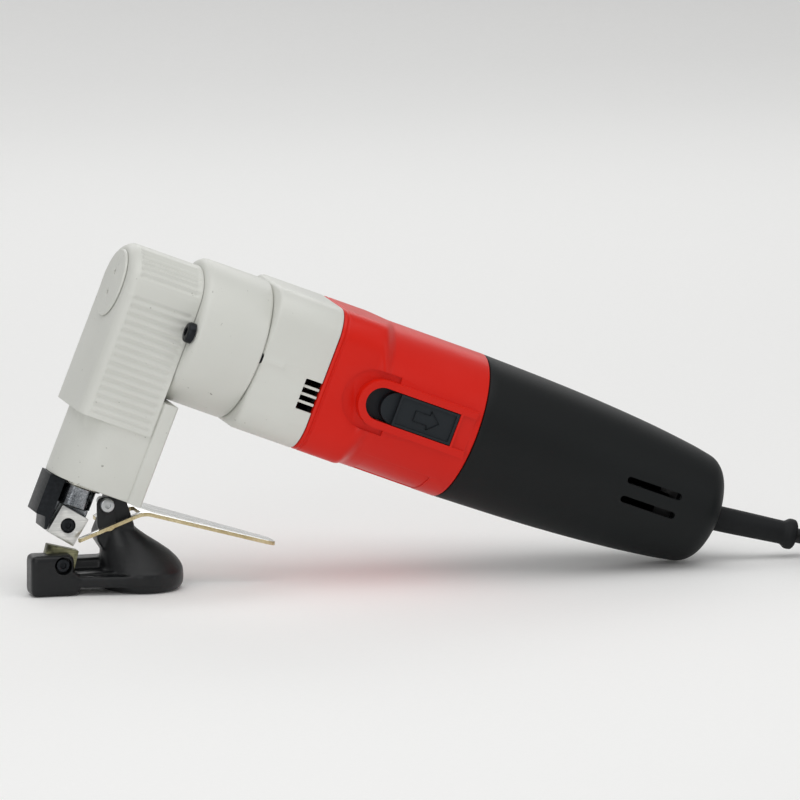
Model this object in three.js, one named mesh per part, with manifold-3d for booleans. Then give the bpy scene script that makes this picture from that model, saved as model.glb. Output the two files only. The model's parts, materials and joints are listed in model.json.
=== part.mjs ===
// Electric sheet-metal shear with an angled gear head, a C-shaped foot and a slide switch.
// It rests on the flat bottom of its foot and on the tail of its rear cover.
// Millimetres, +Z up, +X towards the cord. The origin is under the middle of the tool, on the ground.
//
// Two frames are used below. The tool frame has the motor axis as X and the ram axis as Z, and they
// cross at its origin. It is tilted so that the cord end hangs down. The ground frame is level,
// with z = 0 on the surface that the tool stands on and x = 0 under the tool frame's origin.
import * as THREE from "three";
import { mergeVertices } from "three/addons/utils/BufferGeometryUtils.js";
import Module from "manifold-3d";

const wasm = await Module();
wasm.setup();

// ---------------------------------------------------------------- driving dimensions
const TILT = THREE.MathUtils.degToRad(21.4); // how far the motor axis points down to the cord
const AXIS_HEIGHT = 129.4; // ground to the crossing of the motor and ram axes
const REST = 0.3; // gap between faces that rest on each other
const RUN = 0.05; // radial clearance of a running or pressed round fit

const HEAD = {
  front: -19,
  rear: 25.4,
  top: 29.8, // radius of the crown about the motor axis
  half: 24.6, // half of the width
  bottom: -84.5,
  skirt: -52, // lower end of the ribbed upper part
  corner: 5, // radius of the upright front corners
  lowerHalf: 23.4,
  lowerFront: -16.4,
  lowerCorner: 20,
  stripX: 18, // front edge of the raised strip up the rear of the lower part
};
const CAP = { radius: 16.4, thickness: 1.2, plug: 14.2, plugLength: 1.9 };
const RING = { front: 17.5, rear: 51.5, radius: 34.3, wall: 4, frontWall: 3.5, hole: 24 };
const CASE = { rear: 84.5, halfWidth: 32, halfHeight: 35, corner: 14, wall: 3.5, frontWall: 5.2 };
const HOUSING = { rear: 163, flange: 21, barrel: 35.4, barrelWall: 3.9, ramp: 9 };
const COVER = {
  wall: 3.1,
  // distance behind the joint with the motor housing, and the radius there
  profile: [[0, 35.3], [35, 34.3], [61, 33], [87, 31], [108, 28.6], [118, 27], [124, 25.6],
    [128.4, 21.4], [131.4, 14.6], [132.7, 9]],
  slotLength: 29,
  slotHeight: 3.3,
  slotBack: 92.2, // middle of the air slots behind the joint
  slotZ: [5, -4.4],
};
const VENT = { length: 8.4, top: -0.6, height: 15, bar: 1.3, bars: 3 };

const CRANK = { z: 9, stroke: 5, journal: 5, pin: 4.4, roller: 6, webRadius: 8, web: 2, halfGap: 7.4 };
const SHAFT2 = { z: -16, radius: 3 }; // the layshaft
const MOTOR_SHAFT = { radius: 4, beyondHousing: 14 };
const BEARING = { crank: 10.7, crankWidth: 6.6, motor: 9.5, motorWidth: 6, rear: 8 };
const BUSH = { outer: 4.4, length: 5.6 };

const RAM = {
  radius: 8.8,
  roundTop: -6, // upper end of the full round, inside the crosshead
  shoulder: -96.4, // lower end of the full round
  tip: -110,
  crossHalf: 12.3, // half width of the crosshead
  crossDepth: 7, // half depth of the crosshead along the motor axis
  crossBridge: 3.1, // thickness over the crosshead's window
};
const RAM_BUSH = { wall: 2.2, top: -60, proud: 2.1 };
const bushOuter = RAM.radius + RAM_BUSH.wall;
const crossReach = CRANK.stroke / 2 + CRANK.roller + 0.4; // half of the space that the roller needs
const crossTop = CRANK.z + crossReach + CRANK.stroke + RAM.crossBridge;
const BLADE = { side: 14.5, thickness: 6, x: 0.4, z: -105.4, lean: 10, screwHead: 3.3, screw: 2 };
const SHEAR_PLANE = -6; // y of the upper blade's working face
const BLADE_GAP = 0.2; // between the upper and the lower blade's working faces
const LOWER = { side: 15.1, x: -43.5, z: 14.5, slope: 14.1 };

const FOOT = {
  front: -58.7,
  blockRear: -38,
  blockTop: 19.4,
  nearSide: -20, // the block's outer face in y
  bridgeTop: 10,
  bridgeBottom: 3.2,
  bridgeFar: 6,
  reliefFront: -36,
  discX: -2.8,
  discY: -5,
  discRadius: 20,
  discHeight: 8.6,
};
// Where the foot's disc runs up to its neck, and the far side of the foot's arch.
const SHOULDER = { top: 31, topRadius: 6.5, lean: 10.5, shiftY: 4 };
const SADDLE = { front: -38, rear: -14, near: -5, far: 8, top: 15.2 };
const NECK = { near: -8, far: 6, stubFront: 13.5, stubRear: 22.1, stubTop: -57, stubHalf: 7.4 };
const CLAMP_SCREW = { z: -69, head: 4, headLength: 4.6, radius: 2.9 };
const PLATE = {
  thickness: 1.8,
  near: -12.2,
  far: 25,
  frontX: -34,
  frontZ: 25.6,
  bendX: -2.7,
  bendZ: 37.4,
  rearX: 62,
  rearZ: 19.2,
  tipNear: -9.6,
  tipFar: 5,
  tipRound: 5,
};
const PLATE_SCREW = { x: -20.5, z: 41, head: 3.4, headLength: 2.4, radius: 2 };
const CASE_SCREW = { circle: 29.2, z: 1, head: 5, headLength: 3.4, radius: 2.9, rear: 62 };
const HEAD_SCREW = { y: 15.5, z: -21.5, head: 3.4, headLength: 3, radius: 2, front: 10.5 };

const SWITCH = {
  x: 128.8, // middle of the slot
  length: 46,
  height: 16,
  travel: 8,
  padLength: 30,
  padTop: 37,
  stepTop: 34.6,
  baseTop: 30.2,
  baseBottom: 29,
  rim: 3.6, // width of the raised rim
  rimTop: 36.9,
};
const GUARD = { length: 41.5, radius: 6, tip: 7.2, flange: 8.6, rise: 7, z: -1, bore: 3.75 };
const CORD = { radius: 3.5, coilX: 368, coilY: -38.5, coilMiddle: 38.5, coilSide: 21 };
const PLUG = { length: 36, width: 20, height: 14, pin: 2.4, pinLength: 19, pinSpacing: 18.6 };

// ---------------------------------------------------------------- solids
// A closed geometry as a manifold solid with its faces outwards.
function solid(geometry) {
  const bare = geometry.index ? geometry.toNonIndexed() : geometry.clone();
  bare.deleteAttribute("normal");
  bare.deleteAttribute("uv");
  const merged = mergeVertices(bare, 1e-4);
  const vertProperties = merged.attributes.position.array;
  const triVerts = new Uint32Array(merged.index.array);
  const made = new wasm.Manifold(new wasm.Mesh({ numProp: 3, vertProperties, triVerts }));
  if (made.volume() > 0) return made;
  for (let i = 0; i < triVerts.length; i += 3) {
    [triVerts[i + 1], triVerts[i + 2]] = [triVerts[i + 2], triVerts[i + 1]];
  }
  return new wasm.Manifold(new wasm.Mesh({ numProp: 3, vertProperties, triVerts }));
}

// A manifold solid as a geometry for a mesh.
function geometryOf(made) {
  const mesh = made.getMesh();
  const geometry = new THREE.BufferGeometry();
  geometry.setAttribute("position", new THREE.BufferAttribute(mesh.vertProperties, 3));
  geometry.setIndex(new THREE.BufferAttribute(mesh.triVerts, 1));
  const flat = geometry.toNonIndexed();
  flat.computeVertexNormals();
  return flat;
}

const join = (...parts) => parts.reduce((whole, part) => whole.add(part));
const cut = (whole, ...parts) => parts.reduce((rest, part) => rest.subtract(part), whole);

function box(x0, x1, y0, y1, z0, z1) {
  const geometry = new THREE.BoxGeometry(x1 - x0, y1 - y0, z1 - z0);
  return solid(geometry.translate((x0 + x1) / 2, (y0 + y1) / 2, (z0 + z1) / 2));
}

// Cylinders along each axis, between two places on it.
function rodX(x0, x1, radius, y = 0, z = 0, sides = 24) {
  const geometry = new THREE.CylinderGeometry(radius, radius, x1 - x0, sides);
  return solid(geometry.rotateZ(Math.PI / 2).translate((x0 + x1) / 2, y, z));
}
function rodY(y0, y1, radius, x = 0, z = 0, sides = 16) {
  const geometry = new THREE.CylinderGeometry(radius, radius, y1 - y0, sides);
  return solid(geometry.translate(x, (y0 + y1) / 2, z));
}
function rodZ(z0, z1, radius, x = 0, y = 0, sides = 24) {
  const geometry = new THREE.CylinderGeometry(radius, radius, z1 - z0, sides);
  return solid(geometry.rotateX(Math.PI / 2).translate(x, y, (z0 + z1) / 2));
}

// A closed outline of [along, radius] points turned about the X axis.
function turnX(outline, sides = 24) {
  const points = outline.map(([along, radius]) => new THREE.Vector2(radius, along));
  return solid(new THREE.LatheGeometry(points, sides).rotateZ(-Math.PI / 2));
}

const outlineOf = (points) => new THREE.Shape(points.map(([a, b]) => new THREE.Vector2(a, b)));

function roundedOutline(halfA, halfB, corner) {
  const shape = new THREE.Shape();
  const a = halfA - corner;
  const b = halfB - corner;
  const quarter = Math.PI / 2;
  shape.absarc(a, b, corner, 0, quarter);
  shape.absarc(-a, b, corner, quarter, 2 * quarter);
  shape.absarc(-a, -b, corner, 2 * quarter, 3 * quarter);
  shape.absarc(a, -b, corner, 3 * quarter, 4 * quarter);
  return shape;
}

// Prisms: the outline lies in the plane across the named axis.
function prism(shape, length, curveSegments) {
  return new THREE.ExtrudeGeometry(shape, { depth: length, bevelEnabled: false, curveSegments });
}
function prismX(shape, x0, x1, curveSegments = 8) {
  const turn = new THREE.Matrix4().makeBasis(
    new THREE.Vector3(0, 1, 0),
    new THREE.Vector3(0, 0, 1),
    new THREE.Vector3(1, 0, 0),
  );
  return solid(prism(shape, x1 - x0, curveSegments).applyMatrix4(turn).translate(x0, 0, 0));
}
function prismY(shape, y0, y1, curveSegments = 8) {
  return solid(prism(shape, y1 - y0, curveSegments).rotateX(Math.PI / 2).translate(0, y1, 0));
}
function prismZ(shape, z0, z1, curveSegments = 8) {
  return solid(prism(shape, z1 - z0, curveSegments).translate(0, 0, z0));
}

// ---------------------------------------------------------------- assembly
const part = new THREE.Group();
const tool = new THREE.Group();
tool.rotation.y = TILT;
tool.position.z = AXIS_HEIGHT;
part.add(tool);

const FINISH = {
  greyPaint: ["#cbccc6", 0.55, 0.1],
  redPlastic: ["#d8281a", 0.42, 0],
  blackPlastic: ["#16191a", 0.62, 0],
  blackRubber: ["#191b1c", 0.8, 0],
  blackenedSteel: ["#2b2d30", 0.45, 0.6],
  groundSteel: ["#cfcfcf", 0.25, 1],
  toolSteel: ["#6b6b55", 0.4, 0.9],
  polishedSteel: ["#e2e2e0", 0.15, 1],
  gearSteel: ["#8b8d8f", 0.35, 1],
  bronze: ["#a9804a", 0.4, 1],
  copper: ["#b4693c", 0.4, 1],
  laminate: ["#5a5c60", 0.5, 0.8],
  carbon: ["#242424", 0.8, 0.2],
  zinc: ["#a8abad", 0.35, 0.9],
};

function add(name, made, finish, group = tool) {
  const [color, roughness, metalness] = FINISH[finish];
  const material = new THREE.MeshStandardMaterial({ color, roughness, metalness });
  const mesh = new THREE.Mesh(geometryOf(made), material);
  mesh.name = name;
  group.add(mesh);
  return mesh;
}

// ---------------------------------------------------------------- gear head
const capBore = CAP.plug + 0.3;
const bearingBore = BEARING.crank + 0.1;
const chamber = { half: 9.8, y: 13, crown: crossTop + 0.9, bottom: -20 };
const frontBearingX = -chamber.half - 0.4 - BEARING.crankWidth;
const headJoint = RING.front - REST;

function headHousing() {
  const middle = (HEAD.front + headJoint) / 2;
  const upperPlan = roundedOutline((headJoint - HEAD.front) / 2, HEAD.half, HEAD.corner);
  const squareRear = box(0, headJoint, -HEAD.half, HEAD.half, HEAD.skirt, HEAD.top);
  const crown = rodX(HEAD.front - 1, headJoint, HEAD.top, 0, 0, 40);
  const belowAxis = box(HEAD.front - 1, headJoint, -HEAD.half - 1, HEAD.half + 1, HEAD.skirt, 0);
  const upper = join(prismZ(upperPlan, HEAD.skirt, HEAD.top, 4).translate(middle, 0, 0), squareRear)
    .intersect(join(crown, belowAxis));

  const lowerLength = HEAD.rear + REST + HEAD.lowerCorner - HEAD.lowerFront;
  const lowerPlan = roundedOutline(lowerLength / 2, HEAD.lowerHalf, HEAD.lowerCorner);
  const lower = prismZ(lowerPlan, HEAD.bottom, -RING.radius - REST, 5)
    .translate(HEAD.lowerFront + lowerLength / 2, 0, 0)
    .intersect(box(HEAD.lowerFront, HEAD.rear, -HEAD.lowerHalf, HEAD.lowerHalf, HEAD.bottom, 0));
  const neckIn = box(0, headJoint, -HEAD.lowerHalf, HEAD.lowerHalf, HEAD.skirt, -30);
  const strip = box(HEAD.stripX, HEAD.rear, -HEAD.half, HEAD.half, HEAD.bottom, -RING.radius - REST);

  const ramChamber = join(
    rodX(-chamber.half, chamber.half, chamber.crown, 0, 0, 40)
      .intersect(box(-chamber.half, chamber.half, -chamber.y, chamber.y, chamber.bottom, chamber.crown)),
    rodZ(RAM_BUSH.top - 1, RAM.roundTop + 1, RAM.radius + 0.5),
    rodZ(HEAD.bottom - 1, RAM_BUSH.top, bushOuter + RUN),
  );
  const pocket = box(
    NECK.stubFront - REST, NECK.stubRear + REST, -NECK.stubHalf - REST, NECK.stubHalf + REST,
    HEAD.bottom - 1, NECK.stubTop + REST,
  );
  return cut(
    join(upper, lower, neckIn, strip),
    rodX(HEAD.front - 3, frontBearingX - 0.3, capBore, 0, CRANK.z),
    rodX(frontBearingX - 1, -chamber.half + 1, bearingBore, 0, CRANK.z),
    ramChamber,
    rodX(chamber.half - 1, headJoint + 1, bearingBore, 0, CRANK.z),
    rodX(11, headJoint + 1, BUSH.outer + RUN, 0, SHAFT2.z),
    pocket,
    rodX(NECK.stubFront, HEAD.rear + 1, CLAMP_SCREW.radius + 0.2, 0, CLAMP_SCREW.z),
    ...[-1, 1].map((side) => rodX(
      headJoint - CASE_SCREW.headLength - 1, headJoint + 1, CASE_SCREW.head + REST,
      side * CASE_SCREW.circle, CASE_SCREW.z,
    )),
    ...[-1, 1].map((side) => rodX(
      HEAD_SCREW.front - 0.5, headJoint + 1, HEAD_SCREW.radius + 0.2, side * HEAD_SCREW.y, HEAD_SCREW.z, 12,
    )),
  );
}
add("head_housing", headHousing(), "greyPaint");

// The screwed cap over the crank's front bearing, with two holes for a pin spanner.
function headFrontCap() {
  const face = HEAD.front - REST;
  const flange = rodX(face - CAP.thickness, face, CAP.radius, 0, CRANK.z);
  const plug = rodX(face - 0.5, face + CAP.plugLength, CAP.plug, 0, CRANK.z);
  const pins = [-5, 5].map((z) => rodX(face - CAP.thickness - 1, face + 1, 1.5, 0, CRANK.z + z, 8));
  return cut(join(flange, plug), ...pins);
}
add("head_front_cap", headFrontCap(), "greyPaint");

function ballBearing(x0, width, outer, inner, z) {
  return cut(rodX(x0, x0 + width, outer, 0, z), rodX(x0 - 1, x0 + width + 1, inner + RUN, 0, z));
}
const rearCrankBearingX = chamber.half + 0.6;
add("crank_front_bearing",
  ballBearing(frontBearingX, BEARING.crankWidth, BEARING.crank, CRANK.journal, CRANK.z), "gearSteel");
add("crank_rear_bearing",
  ballBearing(rearCrankBearingX, BEARING.crankWidth, BEARING.crank, CRANK.journal, CRANK.z), "gearSteel");

// ---------------------------------------------------------------- gears
// A spur gear's outline with a tooth pointing along `angle`: short, slightly thin teeth.
function gearOutline(teeth, module, angle) {
  const pitch = (teeth * module) / 2;
  const tip = pitch + 0.75 * module;
  const root = pitch - 1.15 * module;
  const step = (2 * Math.PI) / teeth;
  const points = [];
  for (let i = 0; i < teeth; i += 1) {
    const middle = angle + i * step;
    const corners = [[root, -0.3], [tip, -0.1], [tip, 0.1], [root, 0.3]];
    for (const [radius, share] of corners) {
      const a = middle + share * step;
      points.push([radius * Math.cos(a), radius * Math.sin(a)]);
    }
  }
  return outlineOf(points);
}
const UP = Math.PI / 2;
const DOWN = -Math.PI / 2;
const GEAR = {
  motorPinion: { teeth: 10, module: 0.8, x0: 37, x1: 46 },
  layshaftGear: { teeth: 30, module: 0.8, x0: 38, x1: 45 },
  layshaftPinion: { teeth: 12, module: 1, x0: 24.8, x1: 35.4 },
  crankGear: { teeth: 38, module: 1, x0: 26, x1: 34 },
};
function gear({ teeth, module, x0, x1 }, angle, z) {
  return prismX(gearOutline(teeth, module, angle), x0, x1).translate(0, 0, z);
}
const halfTooth = ({ teeth }) => Math.PI / teeth;

// ---------------------------------------------------------------- crank
function crankShaft() {
  const gap = CRANK.halfGap;
  return join(
    rodX(frontBearingX - 0.1, -gap, CRANK.journal, 0, CRANK.z),
    rodX(-gap - CRANK.web, -gap, CRANK.webRadius, 0, CRANK.z),
    rodX(-gap - 0.5, gap + 0.5, CRANK.pin, 0, CRANK.z + CRANK.stroke / 2),
    rodX(gap, gap + CRANK.web, CRANK.webRadius, 0, CRANK.z),
    rodX(gap, GEAR.crankGear.x1 + 2, CRANK.journal, 0, CRANK.z),
  );
}
add("crank_shaft", crankShaft(), "gearSteel");
add("crank_gear", cut(
  gear(GEAR.crankGear, DOWN + halfTooth(GEAR.crankGear), CRANK.z),
  rodX(GEAR.crankGear.x0 - 1, GEAR.crankGear.x1 + 1, CRANK.journal + RUN, 0, CRANK.z),
), "gearSteel");
const pinZ = CRANK.z + CRANK.stroke / 2;
const rollerHalf = RAM.crossDepth - 0.2;
add("eccentric_roller", cut(
  rodX(-rollerHalf, rollerHalf, CRANK.roller, 0, pinZ),
  rodX(-rollerHalf - 1, rollerHalf + 1, CRANK.pin + RUN, 0, pinZ),
), "gearSteel");

// ---------------------------------------------------------------- layshaft
const rearBushX = RING.rear + REST + 0.2;
add("layshaft", join(
  rodX(11.6, rearBushX + BUSH.length - 0.8, SHAFT2.radius, 0, SHAFT2.z),
  gear(GEAR.layshaftPinion, UP, SHAFT2.z),
), "gearSteel");
add("layshaft_gear", cut(
  gear(GEAR.layshaftGear, UP + halfTooth(GEAR.layshaftGear), SHAFT2.z),
  rodX(GEAR.layshaftGear.x0 - 1, GEAR.layshaftGear.x1 + 1, SHAFT2.radius + RUN, 0, SHAFT2.z),
), "gearSteel");
function layshaftBush(x0) {
  return cut(
    rodX(x0, x0 + BUSH.length, BUSH.outer, 0, SHAFT2.z),
    rodX(x0 - 1, x0 + BUSH.length + 1, SHAFT2.radius + RUN, 0, SHAFT2.z),
  );
}
add("layshaft_front_bush", layshaftBush(11.4), "bronze");
add("layshaft_rear_bush", layshaftBush(rearBushX), "bronze");

// ---------------------------------------------------------------- ram and upper blade
function ram() {
  const { crossHalf, crossDepth } = RAM;
  const reach = crossReach;
  const windowBottom = CRANK.z - reach;
  const windowTop = CRANK.z + reach + CRANK.stroke;
  const crosshead = box(-crossDepth, crossDepth, -crossHalf, crossHalf, -10, crossTop)
    .intersect(rodX(-crossDepth - 1, crossDepth + 1, crossTop + 0.2, 0, 0, 40));
  const window = box(-crossDepth - 3, crossDepth + 3, -reach, reach, windowBottom, windowTop);
  const tab = rodZ(RAM.tip, RAM.shoulder + 1, RAM.radius)
    .intersect(box(-RAM.radius, RAM.radius, REST, RAM.radius, RAM.tip, RAM.shoulder + 1));
  return cut(
    join(rodZ(RAM.shoulder, RAM.roundTop, RAM.radius), crosshead, tab),
    window,
    rodY(-1, RAM.radius + 1, BLADE.screw + 0.2, BLADE.x, BLADE.z),
  );
}
add("ram", ram(), "polishedSteel");

// A square blade with four cutting edges and a hole for its screw, its working face at y0.
function squareBlade(side, y0, y1) {
  const half = side / 2;
  return prismY(roundedOutline(half, half, 0.3), y0, y1, 1);
}
const lean = (made, degrees, x, z) => made.rotate([0, degrees, 0]).translate(x, 0, z);
add("upper_blade", cut(
  lean(squareBlade(BLADE.side, SHEAR_PLANE, 0), BLADE.lean, BLADE.x, BLADE.z),
  rodY(SHEAR_PLANE - 1, 1, BLADE.screw + 0.2, BLADE.x, BLADE.z),
  rodY(SHEAR_PLANE - 1, SHEAR_PLANE + 3, BLADE.screwHead + REST, BLADE.x, BLADE.z),
), "groundSteel");

// A socket-headed screw along Y: the head from y0, then the shank to y1.
function socketScrewY(y0, y1, head, headLength, radius, x, z, socket) {
  return cut(
    join(rodY(y0, y0 + headLength, head, x, z), rodY(y0 + 0.5, y1, radius, x, z, 12)),
    rodY(y0 - 1, y0 + headLength * 0.55, socket, x, z, 6),
  );
}
add("upper_blade_screw",
  socketScrewY(SHEAR_PLANE + 0.2, 6.5, BLADE.screwHead, 2.5, BLADE.screw, BLADE.x, BLADE.z, 1.6),
  "blackenedSteel");

add("ram_bush", cut(
  rodZ(HEAD.bottom - RAM_BUSH.proud, RAM_BUSH.top - 0.3, bushOuter),
  rodZ(HEAD.bottom - 5, RAM_BUSH.top + 1, RAM.radius + RUN),
), "bronze");

function frontGuide() {
  const outline = outlineOf([
    [-17.2, HEAD.bottom - REST], [-9.4, HEAD.bottom - REST], [-9.4, -110], [-10.6, -110.6],
    [-12.4, -104.6], [-17.2, -104.6],
  ]);
  return cut(
    prismY(outline, -9, 9),
    rodZ(HEAD.bottom - RAM_BUSH.proud - REST, HEAD.bottom + 1, bushOuter + REST),
    rodZ(HEAD.bottom - 40, HEAD.bottom + 1, RAM.radius + REST),
  );
}
add("front_guide", frontGuide(), "blackenedSteel");

// ---------------------------------------------------------------- ring and gear case
const sides = [-1, 1];
const caseScrewHole = (side, x0, x1) => rodX(
  x0, x1, CASE_SCREW.radius + 0.2, side * CASE_SCREW.circle, CASE_SCREW.z, 12,
);
function mountingRing() {
  const { front, rear, radius, wall, frontWall, hole } = RING;
  const shell = cut(
    rodX(front, rear, radius, 0, 0, 40),
    rodX(front + frontWall, rear + 1, radius - wall, 0, 0, 40),
    rodX(front - 1, front + frontWall + 1, hole, 0, 0, 40),
  );
  const lugs = sides.map((side) => rodX(
    front + 1, rear, CASE_SCREW.radius + 2.2, side * CASE_SCREW.circle, CASE_SCREW.z, 12,
  ).intersect(rodX(front, rear, radius - 1, 0, 0, 40)));
  return cut(
    join(shell, ...lugs),
    ...sides.map((side) => caseScrewHole(side, front - 1, rear + 1)),
    ...sides.map((side) => rodX(
      front - 1, front + frontWall + 1, HEAD_SCREW.radius + 0.2, side * HEAD_SCREW.y, HEAD_SCREW.z, 12,
    )),
  );
}
add("mounting_ring", mountingRing(), "greyPaint");

const caseFront = RING.rear + REST;
function squareShell(x0, x1, wall) {
  const { halfWidth, halfHeight, corner } = CASE;
  const outline = roundedOutline(halfWidth - wall, halfHeight - wall, corner - wall);
  // The outline's first direction is across the tool and its second is up.
  return prismX(outline, x0, x1, 4);
}
function gearCase() {
  const inside = caseFront + CASE.frontWall;
  const hub = rodX(caseFront, caseFront + BEARING.motorWidth + 1.2, BEARING.motor + 2.6);
  const ventZ = VENT.top - VENT.height;
  const bars = (side) => {
    const made = [];
    const pitch = VENT.height / (VENT.bars + 1);
    const half = VENT.bar / 2;
    for (let i = 1; i <= VENT.bars; i += 1) {
      const z = ventZ + i * pitch;
      const y = side * (CASE.halfWidth - 2.4);
      made.push(box(CASE.rear - VENT.length - 1, CASE.rear, y - 1.1, y + 1.1, z - half, z + half));
    }
    return made;
  };
  const vent = (side) => box(
    CASE.rear - VENT.length, CASE.rear + 1,
    side > 0 ? CASE.halfWidth - CASE.wall - 1 : -CASE.halfWidth - 1,
    side > 0 ? CASE.halfWidth + 1 : -CASE.halfWidth + CASE.wall + 1,
    ventZ, VENT.top,
  );
  const lugs = sides.map((side) => rodX(
    caseFront, CASE_SCREW.rear + 2, CASE_SCREW.radius + 2, side * (CASE_SCREW.circle - 1), CASE_SCREW.z, 12,
  ).intersect(squareShell(caseFront, CASE.rear, 1)));
  const shell = cut(
    join(
      cut(squareShell(caseFront, CASE.rear, 0), squareShell(inside, CASE.rear + 1, CASE.wall)),
      hub,
      ...lugs,
    ),
    rodX(caseFront - 1, CASE.rear, BEARING.motor + RUN),
    rodX(caseFront - 1, inside + 1, BUSH.outer + RUN, 0, SHAFT2.z),
    ...sides.map((side) => caseScrewHole(side, caseFront - 1, CASE_SCREW.rear)),
  );
  return join(cut(shell, ...sides.map(vent)), ...sides.flatMap(bars));
}
add("gear_case", gearCase(), "greyPaint");

// A socket-headed screw along X: the head ends at x0 and the shank runs to x1.
function socketScrewX(x0, x1, head, headLength, radius, y, z, socket) {
  return cut(
    join(rodX(x0 - headLength, x0, head, y, z, 24), rodX(x0 - 1, x1, radius, y, z, 12)),
    rodX(x0 - headLength - 1, x0 - headLength * 0.4, socket, y, z, 6),
  );
}
for (const [side, name] of [[-1, "near"], [1, "far"]]) {
  add(`case_screw_${name}`, socketScrewX(
    headJoint, CASE_SCREW.rear - 0.5, CASE_SCREW.head, CASE_SCREW.headLength, CASE_SCREW.radius,
    side * CASE_SCREW.circle, CASE_SCREW.z, 2.4,
  ), "blackenedSteel");
  // These screws enter from inside the ring, so they are built pointing forwards.
  const seat = RING.front + RING.frontWall + REST;
  add(`head_screw_${name}`, join(
    rodX(seat, seat + HEAD_SCREW.headLength, HEAD_SCREW.head, side * HEAD_SCREW.y, HEAD_SCREW.z, 20),
    rodX(HEAD_SCREW.front, seat + 1, HEAD_SCREW.radius, side * HEAD_SCREW.y, HEAD_SCREW.z, 12),
  ), "zinc");
}

// ---------------------------------------------------------------- motor
const FAN = { front: 68, disc: 2, rear: 81, radius: 26.5, hub: 8, blades: 9 };
const CORE = { front: 96, rear: 138, radius: 17.6 };
const FIELD = { front: 94, rear: 142, radius: 31, bore: 18.3, flat: 27.4 };
const COMMUTATOR = { front: 146, rear: 162, radius: 11 };
const BRUSH = { x: 152, width: 6.4, depth: 4.6, bottom: 11.5, top: 22 };
const HOLDER = { wall: 2.6, bottom: 12.6, top: 30.8 };
const REAR_BEARING = { x: HOUSING.rear + 6.6, width: 6.4 };
const motorShaftRear = HOUSING.rear + MOTOR_SHAFT.beyondHousing;

const frontBearing = { x: caseFront + 0.4, width: BEARING.motorWidth };
add("armature_shaft", join(
  gear(GEAR.motorPinion, DOWN, 0),
  rodX(GEAR.motorPinion.x1 - 1, frontBearing.x - 0.4, 3),
  rodX(frontBearing.x - 0.6, motorShaftRear, MOTOR_SHAFT.radius),
), "gearSteel");
const onShaft = (made, x0, x1) => cut(made, rodX(x0 - 1, x1 + 1, MOTOR_SHAFT.radius + RUN));
add("armature_front_bearing",
  ballBearing(frontBearing.x, frontBearing.width, BEARING.motor, MOTOR_SHAFT.radius, 0), "gearSteel");
add("armature_rear_bearing",
  ballBearing(REAR_BEARING.x, REAR_BEARING.width, BEARING.rear, MOTOR_SHAFT.radius, 0), "gearSteel");
add("armature_core", onShaft(rodX(CORE.front, CORE.rear, CORE.radius), CORE.front, CORE.rear), "laminate");
add("commutator", onShaft(
  rodX(COMMUTATOR.front, COMMUTATOR.rear, COMMUTATOR.radius), COMMUTATOR.front, COMMUTATOR.rear,
), "copper");

function coolingFan() {
  const blades = [];
  for (let i = 0; i < FAN.blades; i += 1) {
    const blade = box(FAN.front + 1, FAN.rear, -0.9, 0.9, FAN.hub - 1, FAN.radius - 0.6);
    blades.push(blade.rotate([(360 * i) / FAN.blades, 0, 0]));
  }
  return onShaft(join(
    rodX(FAN.front, FAN.front + FAN.disc, FAN.radius, 0, 0, 36),
    rodX(FAN.front, FAN.rear, FAN.hub, 0, 0, 24),
    ...blades,
  ), FAN.front, FAN.rear);
}
add("cooling_fan", coolingFan(), "blackPlastic");

const housingFront = CASE.rear + REST;
add("fan_baffle", cut(
  squareShell(housingFront + 1.5, housingFront + 3.5, CASE.wall + 0.3),
  rodX(housingFront, housingFront + 5, 21),
), "blackPlastic");
add("field_core", cut(
  rodX(FIELD.front, FIELD.rear, FIELD.radius)
    .intersect(box(FIELD.front, FIELD.rear, -FIELD.flat, FIELD.flat, -FIELD.radius, FIELD.radius)),
  rodX(FIELD.front - 1, FIELD.rear + 1, FIELD.bore),
), "laminate");

for (const [side, name] of [[1, "top"], [-1, "bottom"]]) {
  const span = (low, high) => (side > 0 ? [low, high] : [-high, -low]);
  const halfX = BRUSH.width / 2;
  const halfY = BRUSH.depth / 2;
  const outerX = halfX + HOLDER.wall;
  const outerY = halfY + HOLDER.wall;
  add(`brush_holder_${name}`, cut(
    box(BRUSH.x - outerX, BRUSH.x + outerX, -outerY, outerY, ...span(HOLDER.bottom, HOLDER.top)),
    box(BRUSH.x - halfX - 0.2, BRUSH.x + halfX + 0.2, -halfY - 0.2, halfY + 0.2, ...span(11, 26)),
  ), "bronze");
  add(`carbon_brush_${name}`, box(
    BRUSH.x - halfX, BRUSH.x + halfX, -halfY, halfY, ...span(BRUSH.bottom, BRUSH.top),
  ), "carbon");
}

// ---------------------------------------------------------------- motor housing
const slot = { front: SWITCH.x - SWITCH.length / 2, rear: SWITCH.x + SWITCH.length / 2 };
const slotHalf = SWITCH.height / 2;
const rampStart = housingFront + HOUSING.flange;
const rampEnd = rampStart + HOUSING.ramp;
const innerBarrel = HOUSING.barrel - HOUSING.barrelWall;
const bridge = {
  front: HOUSING.rear - 4.6,
  rear: REAR_BEARING.x + REAR_BEARING.width + 1,
  half: 5,
  outer: 31.2,
  inner: 28,
};

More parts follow.
